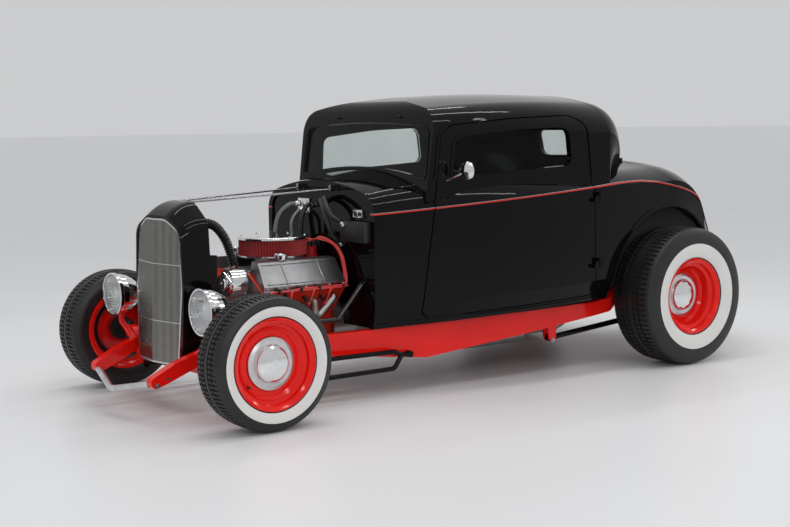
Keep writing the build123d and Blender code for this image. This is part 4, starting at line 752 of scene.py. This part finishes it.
class HOTROD_OT_paint_body(bpy.types.Operator):
    """Paint the body panels, lay the belt stripe and line the cabin"""
    bl_idname = "hotrod.paint_body"
    bl_label = "Paint the body"

    def execute(self, context):
        paint = context.scene.hot_rod_paint
        striped = striped_enamel(
            "body_enamel", tuple(paint.body), tuple(paint.stripe), tuple(paint.stripe_highlight))
        plain = enamel("black_enamel", tuple(paint.body), 0.06, 0.03, BODY_GLOSS)
        lining = soft_black("cabin_lining", (0.010, 0.010, 0.011), 0.9, 260.0, 0.4, 0.1)
        for node in LINED_PANELS:
            skin(node, [plain if node == "roof" else striped, lining], looks_inside)
        for node in PLAIN_PANELS + BLACK_STEEL:
            wear(node, plain)
        return {"FINISHED"}


class HOTROD_OT_paint_chassis(bpy.types.Operator):
    """Paint the frame, axles and wheels, finish the bare steel and fit the frame's bolts"""
    bl_idname = "hotrod.paint_chassis"
    bl_label = "Paint the chassis"

    def execute(self, context):
        paint = context.scene.hot_rod_paint
        red = enamel("red_enamel", tuple(paint.running_gear), 0.10, 0.05, 0.3)
        for node in RED_STEEL:
            wear(node, red)
        drum = soft_black("drum_black", (0.012, 0.012, 0.012), 0.4, 200.0, 0.2)
        for node in ("knuckle_left", "knuckle_right"):
            wear(node, drum)
        for corner in CORNERS:
            self.paint_wheel(corner, red, drum)
        steel = cast_metal("bare_steel", (0.42, 0.42, 0.43), 0.32)
        for node in BARE_STEEL:
            wear(node, steel)
        pipe = cast_metal("pipe_steel", (0.46, 0.45, 0.44), 0.34, 90.0)
        header = cast_metal("header_iron", (0.36, 0.32, 0.28), 0.5, 160.0, strength=0.3)
        skin("exhaust", [pipe, header], header_iron)
        wear("floor", soft_black("floor_coating", (0.012, 0.012, 0.013), 0.85, 300.0, 0.5))
        bm = bmesh.new()
        for place, axis in BOLTS:
            for side in (1, -1):
                add_bolt(bm, on_side(place, side), (axis[0], axis[1] * side, axis[2]), 9.0, 9.0)
        done("frame_bolts", bm, [steel])
        return {"FINISHED"}

    @staticmethod
    def paint_wheel(corner, red, drum):
        """The wheel in red with its brake drum, inboard of the disc, in black."""
        middle = hub(corner)[0]

        def drum_side(centre, normal):
            return 1 if abs(centre.y) < abs(middle[1]) and off_axis(centre, middle) < DRUM else 0

        skin("wheel_" + corner, [red, drum], drum_side)


def header_iron(centre, normal):
    """1 on the cast headers ahead of the pipes, but not on each side's bright rear tube."""
    behind, up = behind_axle(centre), centre.z * 1000
    (head_behind, head_up), (forward, down) = PIPE_HEAD, PIPE_RUN
    share = ((head_behind - behind) * forward + (head_up - up) * down) / (forward ** 2 + down ** 2)
    share = min(max(share, 0.0), 1.0)
    off = math.hypot(behind - head_behind + forward * share, up - head_up + down * share)
    return 1 if behind < 700 and (off > 22 or share > 0.97) else 0


def bare_of_paint(centre, normal):
    """1 on the block's front end, its front faces and the valley between the heads."""
    behind = behind_axle(centre)
    if behind < 255 or behind < 330 and normal.x > 0.9:
        return 1
    return 1 if abs(centre.y) < 0.10 and centre.z > 0.5 else 0


def cleaner_plates(centre, normal):
    """1 on the air cleaner's plates, 0 on the stud and all below them."""
    off = centre.x - spot(*CLEANER).x
    return 1 if centre.z > 0.695 and abs(off) < 0.185 and math.hypot(off, centre.y) > 0.03 else 0


def fan_blades(centre, normal):
    """1 on the fan, 0 on the pulleys and the alternator."""
    return 1 if behind_axle(centre) < 128 and centre.z > 0.3 and abs(centre.y) < 0.12 else 0


class HOTROD_OT_finish_brightwork(bpy.types.Operator):
    """Plate the lamps, mirrors, breathers and hub caps, and fit bulbs and lamp rims"""
    bl_idname = "hotrod.finish_brightwork"
    bl_label = "Plate the bright work"

    def execute(self, context):
        chrome = plated("chrome_plate", (0.80, 0.81, 0.82), 0.05)
        satin = cast_metal("satin_silver", (0.66, 0.66, 0.67), 0.30, 240.0, strength=0.05)
        for node in CHROMED:
            wear(node, chrome)
        wear("spreader_bars", satin)
        wear("hood_stays", cast_metal("stay_steel", (0.30, 0.30, 0.31), 0.2, 240.0, strength=0.03))
        for corner in CORNERS:
            def ring_or_dome(centre, normal, middle=hub(corner)[0]):
                return 1 if off_axis(centre, middle) > CAP_DOME else 0

            skin("cap_" + corner, [chrome, satin], ring_or_dome)
        bars = plated("grille_steel", (0.72, 0.70, 0.66), 0.2)
        # Painted shade: the bars' sideways faces near the middle are plated dark, standing for the shade
        # between the bars.
        flank_shade = plated("grille_flank_shade", (0.20, 0.195, 0.19), 0.3)
        skin("grille_bars", [bars, flank_shade], lambda at, n: 1 if abs(n.y) > 0.85 and abs(at.y) < 0.2 else 0)
        wear("headlamp_lenses", fluted_glass("lamp_glass", (0.94, 0.95, 0.95)))
        ruby = enamel("lamp_red", (0.40, 0.008, 0.008), 0.08)
        skin("tail_lamps", [chrome, ruby], lambda at, n: 1 if n.x < -0.7 else 0)
        glow = plated("bulb_silver", (0.72, 0.72, 0.70), 0.2)
        bm = bmesh.new()
        for side in (1, -1):
            add_turned(bm, [(0, 0), (0, 17), (8, 17), (12, 11), (34, 11), (46, 8), (50, 0)],
                       on_side(LAMP_BACK, side), (1, 0, 0))
        done("headlamp_bulbs", bm, [glow])
        bm = bmesh.new()
        for side in (1, -1):
            add_turned(bm, [(-4, 40.5), (6, 40.5), (8, 42), (6, 46), (-2, 47.5), (-4, 46), (-4, 40.5)],
                       on_side(TAIL_LAMP, side), (-1, 0, 0), 48)
        done("tail_lamp_rims", bm, [chrome])
        silvered = plated("mirror_silver", (0.86, 0.87, 0.88), 0.02)
        for side, word in SIDES:
            bm = bmesh.new()
            add_turned(bm, [(0, 0), (0, 42), (0.8, 42), (0.8, 0)], on_side(MIRROR, side), (-1, 0, 0), 40)
            done("mirror_glass_" + word, bm, [silvered], "door_" + word)
        caps = bmesh.new()
        for side in (1, -1):
            add_turned(caps, [(0, 18), (8, 18), (9, 30), (12, 33), (30, 33), (35, 29), (37, 10), (38, 0)],
                       on_side(BREATHER, side), (0, 0.25 * side, 0.97), 40)
        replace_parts(done("breathers", caps, [chrome]), "breather_caps")
        return {"FINISHED"}


class HOTROD_OT_dress_engine(bpy.types.Operator):
    """Paint the block and finish its fittings, leads and hoses"""
    bl_idname = "hotrod.dress_engine"
    bl_label = "Dress the engine"

    def execute(self, context):
        paint = context.scene.hot_rod_paint
        block = enamel("engine_enamel", tuple(paint.engine), 0.24, 0.3)
        brushed = cast_metal("brushed_alloy", (0.31, 0.31, 0.315), 0.30, 300.0, (0.05, 1.0, 1.0), 0.12)
        cast = cast_metal("cast_alloy", (0.46, 0.46, 0.47), 0.36, 200.0)
        chrome = plated("cleaner_chrome", (0.74, 0.74, 0.74), 0.09)
        rubber = soft_black("hose_rubber", (0.011, 0.011, 0.012), 0.5, 220.0, 0.3)
        core = soft_black("core_black", (0.015, 0.015, 0.015), 0.6, 260.0, 0.4)
        red_cap = soft_black("cap_plastic", (0.42, 0.012, 0.010), 0.32, 120.0, 0.08)
        lead = soft_black("lead_silicone", (0.66, 0.055, 0.050), 0.38, 200.0, 0.1, patchy=0.08)
        skin("engine_block", [block, cast], bare_of_paint)
        wear("valve_covers", brushed)
        wear("steering_box", cast)
        wear("radiator", core)
        wear("air_filter", soft_black("filter_paper", (0.27, 0.014, 0.014), 0.7, 200.0, 0.3))
        skin("intake", [cast, chrome], cleaner_plates)
        skin("engine_front", [chrome, core], fan_blades)
        skin("distributor", [cast, red_cap], lambda at, n: 1 if at.z > 0.652 else 0)
        self.rib_covers(brushed, chrome)
        self.run_leads(lead, rubber)
        self.run_hoses(rubber, chrome)
        self.dress_firewall(chrome, rubber)
        self.nut_cleaner(rubber, chrome)
        return {"FINISHED"}

    @staticmethod
    def rib_covers(brushed, chrome):
        """Upright ribs on each cover's outer slope and bolts along its foot."""
        bm = bmesh.new()
        (top_y, top_z), (foot_y, foot_z) = COVER_SLOPE
        for side in (1, -1):
            for behind in COVER_RIBS:
                high = spot(behind, (top_y + 2) * side, top_z - 3)
                low = spot(behind, (foot_y - 2) * side, foot_z + 3)
                tinted(bm, 0, add_bar, high, low, (0, 0.82 * side, 0.57), 0.010, 0.009)
            for behind in COVER_BOLTS:
                tinted(bm, 1, add_bolt, spot(behind, 300 * side, 559), (0, 0.97 * side, -0.22), 5.5, 8.0)
        done("cover_ribs", bm, [brushed, chrome])

    @staticmethod
    def run_leads(lead, rubber):
        """Four leads a side, two by two, from the distributor round behind each cover and along its foot."""
        for side, word in SIDES:
            bm = bmesh.new()
            for number, (leave, plug, up) in enumerate(PLUG_LEADS):
                a, b = number % 2 * LEAD_PITCH, number // 2 * LEAD_PITCH
                turn = math.radians((0, 45, 90, 135)[number] if side > 0 else (180, 225, 270, 315)[number])
                back, left = DISTRIBUTOR - TOWER_RING * math.cos(turn), TOWER_RING * math.sin(turn)
                seat = touch("engine_block", spot(plug, 430 * side, up), Vector((0, -side, 0)))
                axis = Vector((0, 0.80 * side, -0.60))
                tip = seat + axis * 0.046
                path = [(back, left, TOWERS_UP), (back, left, TOWERS_UP + 16),
                        (back * 0.4 + 446, left * 0.5 + 50 * side, 764 + 4 * number),
                        (744 + a, 128 * side, 756 + b), (746 + a, (196 + b) * side, 734),
                        (748 + a, (240 + b) * side, 688), (749 + a, (258 + b) * side, 636),
                        (745 + a, (274 + b) * side, 592), (732, (304 + b) * side, 556 + a),
                        (712, (313 + b) * side, 547 + a)]
                if leave < 660:
                    path.append((leave + 60, (313 + b) * side, 547 + a))
                path += [(leave, (313 + b) * side, 547 + a),
                         (leave * 0.35 + plug * 0.65, (320 + b) * side, 549),
                         (plug + 6, (333 + b) * side, 538)]
                line = [spot(*at) for at in path] + [tip + axis * 0.012, tip]
                tinted(bm, 0, add_tube, smooth_line(line, 6), 0.0040, 10)
                plug_boot = [(-4, 0), (-4, 10), (7, 10), (7, 6), (18, 6), (20, 8), (44, 7), (48, 0)]
                tinted(bm, 1, add_turned, plug_boot, seat, axis, 20)
                tower_boot = [(-2, 0), (-2, 8), (20, 6.5), (22, 0)]
                tinted(bm, 1, add_turned, tower_boot, spot(back, left, TOWERS_UP - 2), (0, 0, 1), 16)
            for behind in SEPARATORS:
                near, far = sorted((305 * side, 330 * side))
                tinted(bm, 1, add_box, spot(behind + 5, near, 538), spot(behind - 5, far, 562), 0.002)
            done("plug_leads_" + word, bm, [lead, rubber])

    @staticmethod
    def run_hoses(rubber, chrome):
        """The radiator's ribbed upper hose and plain lower hose with clamps, and the firewall's hoses."""
        bm = bmesh.new()

        def ribbed(run):
            if run < 0.032 or run > 0.328:
                return 0.0195
            return 0.0200 + 0.0040 * math.sin(run / 0.0142 * math.tau)

        tinted(bm, 0, add_tube, smooth_line([spot(*at) for at in UPPER_HOSE], 42), ribbed, 28)
        tinted(bm, 0, add_tube, smooth_line([spot(*at) for at in LOWER_HOSE], 8), 0.0185, 24)
        for line, end, faced, into in CLAMPS:
            axis = (spot(*line[faced]) - spot(*line[end])).normalized()
            tinted(bm, 1, add_turned, [(0, 20.4), (0, 21.6), (12, 21.6), (12, 20.4), (0, 20.4)],
                   spot(*line[end]) + axis * into / 1000, axis, 32)
        hoses = done("radiator_hoses", bm, [rubber, chrome])
        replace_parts(hoses, "hoses")
        braid = braided("braided_steel", (0.30, 0.31, 0.32))
        for name, radius, finish, points in ENGINE_HOSES:
            bm = bmesh.new()
            line = smooth_line([spot(*at) for at in points], 7)
            tinted(bm, 0, add_tube, line, radius / 1000, 18)
            snug, proud = radius + 0.4, radius + 2.2
            for at, after in ((line[0], line[3]), (line[-1], line[-4])):
                tinted(bm, 1, add_turned, [(0, snug), (0, proud), (18, proud), (22, snug)], at,
                       (after - at).normalized(), 20)
            done(name, bm, [braid if finish == "braid" else rubber, chrome])

    @staticmethod
    def dress_firewall(chrome, rubber):
        """The chrome bulkhead plate, a small switch box and the black fuse box."""
        bm = bmesh.new()
        tinted(bm, 0, add_box, spot(FIREWALL_FACE, -192, 888), spot(778, -86, 964), 0.004)
        tinted(bm, 0, add_box, spot(FIREWALL_FACE, 320, 882), spot(770, 396, 924), 0.004)
        tinted(bm, 1, add_box, spot(FIREWALL_FACE, 236, 764), spot(745, 452, 866), 0.006)
        for left in (340, 376):
            tinted(bm, 1, add_turned, [(0, 0), (0, 11), (2, 11), (2, 0)], spot(770, left, 903), (1, 0, 0), 24)
        for left in (-176, -102):
            for up in (902, 950):
                tinted(bm, 0, add_bolt, spot(778, left, up), (1, 0, 0), 5.0, 6.0)
        done("firewall_fittings", bm, [chrome, rubber])

    @staticmethod
    def nut_cleaner(rubber, chrome):
        """The air cleaner's wing nut and rim screws."""
        behind, left, up = CLEANER
        bm = bmesh.new()
        top = spot(behind, left, up - 1)
        tinted(bm, 0, add_turned, [(-2, 0), (-2, 17), (3, 16), (6, 9), (20, 7), (22, 0)], top, (0, 0, 1), 24)
        for near, far in ((4, 24), (-24, -4)):
            tinted(bm, 0, add_box, spot(behind + 3, near, up + 6), spot(behind - 3, far, up + 20), 0.002)
        for step in range(6):
            turn = math.tau * (step + 0.5) / 6
            place = spot(behind + 160 * math.cos(turn), 160 * math.sin(turn), up - 1)
            tinted(bm, 1, add_bolt, place, (0, 0, 1), 4.5, 6.0)
        done("cleaner_nuts", bm, [rubber, chrome])


class HOTROD_OT_fit_glass(bpy.types.Operator):
    """Glaze the cab and fit the wipers' pivots"""
    bl_idname = "hotrod.fit_glass"
    bl_label = "Fit the glass"

    def execute(self, context):
        glass = clear_glass("window_glass", (0.86, 0.90, 0.89))
        for node in ("cab_glass", "door_glass_left", "door_glass_right"):
            wear(node, glass)
        rubber = soft_black("seal_rubber", (0.009, 0.009, 0.009), 0.6, 260.0, 0.3)
        bm = bmesh.new()
        for left in WIPERS:
            pivot = touch("roof", Vector((1.2, left, WIPER_UP)), Vector((-1, 0, 0)))
            add_turned(bm, [(-3, 0), (-3, 9), (3, 9), (4, 5), (20, 5), (21, 0)], pivot, (1, 0, 0.1), 20)
        done("wiper_pivots", bm, [rubber])
        return {"FINISHED"}


class HOTROD_OT_build_tyres(bpy.types.Operator):
    """Build the four treaded tyres with their white bands"""
    bl_idname = "hotrod.build_tyres"
    bl_label = "Build the tyres"

    def execute(self, context):
        paint = context.scene.hot_rod_paint
        settings = context.scene.hot_rod_tyres
        rubber = soft_black("tyre_rubber", (0.009, 0.009, 0.0095), 0.46, 380.0, 0.2)
        white = soft_black("whitewall_rubber", tuple(paint.whitewall), 0.5, 300.0, 0.05, patchy=0.02)
        for corner in CORNERS:
            band = settings.front_band if corner.startswith("front") else settings.rear_band
            treaded_tyre(corner, band, settings, rubber, white)
            centre, side = hub(corner)
            outside = Vector(centre) + Vector((0.118, 0.4 * side, -0.092))
            seat = touch("wheel_" + corner, outside, Vector((0, -side, 0)))
            bm = bmesh.new()
            add_turned(bm, [(-2, 0), (-2, 7), (3, 7), (5, 4.5), (18, 4), (19, 3), (27, 3), (28, 0)], seat,
                       (0, side, 0), 20)
            done("valve_stem_" + corner, bm, [rubber], "wheel_" + corner)
        return {"FINISHED"}


class HOTROD_OT_trim_cabin(bpy.types.Operator):
    """Pad the bench seat and finish the steering wheel"""
    bl_idname = "hotrod.trim_cabin"
    bl_label = "Trim the cabin"

    def execute(self, context):
        leather = soft_black("seat_leather", (0.022, 0.018, 0.015), 0.5, 160.0, 0.4, 0.15)
        settings = context.scene.hot_rod_trim
        low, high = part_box("seat")
        split = 0.62
        cushion = stuffed("seat_cushion", Vector((high.x - 0.49, low.y, low.z)),
                          Vector((high.x, high.y, split)), 2, 1, settings, leather)
        backrest = stuffed("seat_backrest", Vector((low.x, low.y, split + 0.001)),
                           Vector((low.x + 0.139, high.y, high.z)), 0, 1, settings, leather)
        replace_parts(cushion, "seat")
        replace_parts(backrest, "seat")
        self.finish_column()
        return {"FINISHED"}

    @staticmethod
    def finish_column():
        """The column's wheel and joint in dull black, its shafts in gloss."""
        black = soft_black("wheel_black", (0.010, 0.010, 0.010), 0.35, 120.0, 0.1)
        gloss = enamel("column_enamel", (0.006, 0.006, 0.006), 0.08, 0.03, 0.6)
        wheel, joint = spot(*STEERING_WHEEL), spot(*COLUMN_JOINT)

        def by_place(centre, normal):
            return 1 if (centre - wheel).length < 0.205 or (centre - joint).length < 0.03 else 0

        skin("steering_column", [gloss, black], by_place)


class HOTROD_OT_set_stage(bpy.types.Operator):
    """Lay the floor and set the lamps and the camera"""
    bl_idname = "hotrod.set_stage"
    bl_label = "Set the stage"

    def execute(self, context):
        studio = context.scene.hot_rod_studio
        scene = context.scene
        scene.view_settings.view_transform = "Standard"
        bm = bmesh.new()
        bmesh.ops.create_grid(bm, x_segments=4, y_segments=4, size=160.0)
        floor_material, nodes, links, shader = bare_material("studio_floor")
        floor_colour = tuple(studio.floor)
        mottle(nodes, links, shader, 0.8, shade(floor_colour, 0.985), shade(floor_colour, 1.01))
        shader.inputs["Roughness"].default_value = 0.38
        shader.inputs["Specular IOR Level"].default_value = 0.35
        floor = finish_piece("studio_floor", bm, [floor_material])

        world = bpy.data.worlds.new("studio")
        world.use_nodes = True
        scene.world = world
        tree = world.node_tree
        background = tree.nodes["Background"]
        background.inputs["Color"].default_value = (*studio.backdrop, 1.0)
        background.inputs["Strength"].default_value = studio.fill
        seen = tree.nodes.new("ShaderNodeBackground")
        seen.inputs["Color"].default_value = (*studio.backdrop, 1.0)
        path = tree.nodes.new("ShaderNodeLightPath").outputs
        direct = path["Is Camera Ray"]
        for ray in ("Is Transmission Ray", "Is Glossy Ray"):
            direct = combine(tree.nodes, tree.links, "MAXIMUM", direct, path[ray])
        choose = tree.nodes.new("ShaderNodeMixShader")
        tree.links.new(direct, choose.inputs["Fac"])
        tree.links.new(background.outputs[0], choose.inputs[1])
        tree.links.new(seen.outputs[0], choose.inputs[2])
        tree.links.new(choose.outputs[0], tree.nodes["World Output"].inputs["Surface"])

        power = studio.lamp_power
        for number, across in enumerate((-1.4, 0.7, 2.8)):
            self.hang_lamp("strip_lamp_%d" % number, (0.2, across, 4.3), (0.2, across * 0.6, 0.0),
                           (5.0, 0.16), power * 0.34)
        self.hang_lamp("left_lamp", (3.2, 6.5, 3.4), (0.2, 0.0, 0.6), (2.4, 0.5), power * 0.45)
        self.hang_lamp("rear_lamp", (-5.5, 3.0, 3.2), (-0.6, 0.0, 0.6), (2.0, 0.4), power * 0.25)
        scene.camera = self.place_camera(studio.lens)
        return {"FINISHED"}

    @staticmethod
    def place_camera(lens):
        """The camera at the place, turn and lens of the photograph."""
        camera_data = bpy.data.cameras.new("photo_camera")
        camera_data.sensor_width = 36.0
        camera_data.sensor_fit = "HORIZONTAL"
        camera_data.lens = lens
        camera = bpy.data.objects.new("photo_camera", camera_data)
        bpy.context.scene.collection.objects.link(camera)
        yaw, pitch, roll = CAMERA_TURN
        level = math.cos(pitch)
        forward = Vector((level * math.cos(yaw), level * math.sin(yaw), math.sin(pitch)))
        right = forward.cross(Vector((0, 0, 1))).normalized()
        up = right.cross(forward)
        across = right * math.cos(roll) + up * math.sin(roll)
        upward = up * math.cos(roll) - right * math.sin(roll)
        turn = Matrix((across, upward, -forward)).transposed().to_4x4()
        camera.matrix_world = Matrix.Translation(CAMERA_PLACE) @ turn
        return camera

    @staticmethod
    def hang_lamp(name, place, target, size, power):
        """A soft rectangular lamp that faces a point."""
        data = bpy.data.lights.new(name, "AREA")
        data.shape = "RECTANGLE"
        data.size, data.size_y = size
        data.energy = power
        lamp = bpy.data.objects.new(name, data)
        bpy.context.scene.collection.objects.link(lamp)
        away = Vector(place) - Vector(target)
        lamp.matrix_world = Matrix.Translation(place) @ away.to_track_quat("Z", "Y").to_matrix().to_4x4()


class HOTROD_PT_panel(bpy.types.Panel):
    """Lists the hot rod's operators and their settings"""
    bl_idname = "HOTROD_PT_panel"
    bl_label = "Hot Rod"
    bl_space_type = "VIEW_3D"
    bl_region_type = "UI"
    bl_category = "Hot Rod"

    def draw(self, context):
        for operator in OPERATORS:
            self.layout.operator(operator.bl_idname)
        scene = context.scene
        for group in (scene.hot_rod_paint, scene.hot_rod_tyres, scene.hot_rod_trim, scene.hot_rod_studio):
            box = self.layout.box()
            for name in group.bl_rna.properties.keys():
                if name not in ("rna_type", "name"):
                    box.prop(group, name)


GROUPS = (HotRodPaint, HotRodTyres, HotRodTrim, HotRodStudio)
OPERATORS = (HOTROD_OT_set_stage, HOTROD_OT_paint_body, HOTROD_OT_paint_chassis, HOTROD_OT_finish_brightwork,
             HOTROD_OT_dress_engine, HOTROD_OT_fit_glass, HOTROD_OT_build_tyres, HOTROD_OT_trim_cabin)


def register():
    for cls in GROUPS + OPERATORS + (HOTROD_PT_panel,):
        bpy.utils.register_class(cls)
    bpy.types.Scene.hot_rod_paint = PointerProperty(type=HotRodPaint)
    bpy.types.Scene.hot_rod_tyres = PointerProperty(type=HotRodTyres)
    bpy.types.Scene.hot_rod_trim = PointerProperty(type=HotRodTrim)
    bpy.types.Scene.hot_rod_studio = PointerProperty(type=HotRodStudio)


def unregister():
    del bpy.types.Scene.hot_rod_studio
    del bpy.types.Scene.hot_rod_trim
    del bpy.types.Scene.hot_rod_tyres
    del bpy.types.Scene.hot_rod_paint
    for cls in reversed(GROUPS + OPERATORS + (HOTROD_PT_panel,)):
        bpy.utils.unregister_class(cls)


def main():
    register()
    bpy.ops.hotrod.set_stage()
    bpy.ops.hotrod.paint_body()
    bpy.ops.hotrod.paint_chassis()
    bpy.ops.hotrod.finish_brightwork()
    bpy.ops.hotrod.dress_engine()
    bpy.ops.hotrod.fit_glass()
    bpy.ops.hotrod.build_tyres()
    bpy.ops.hotrod.trim_cabin()


if __name__ == "__main__":
    main()
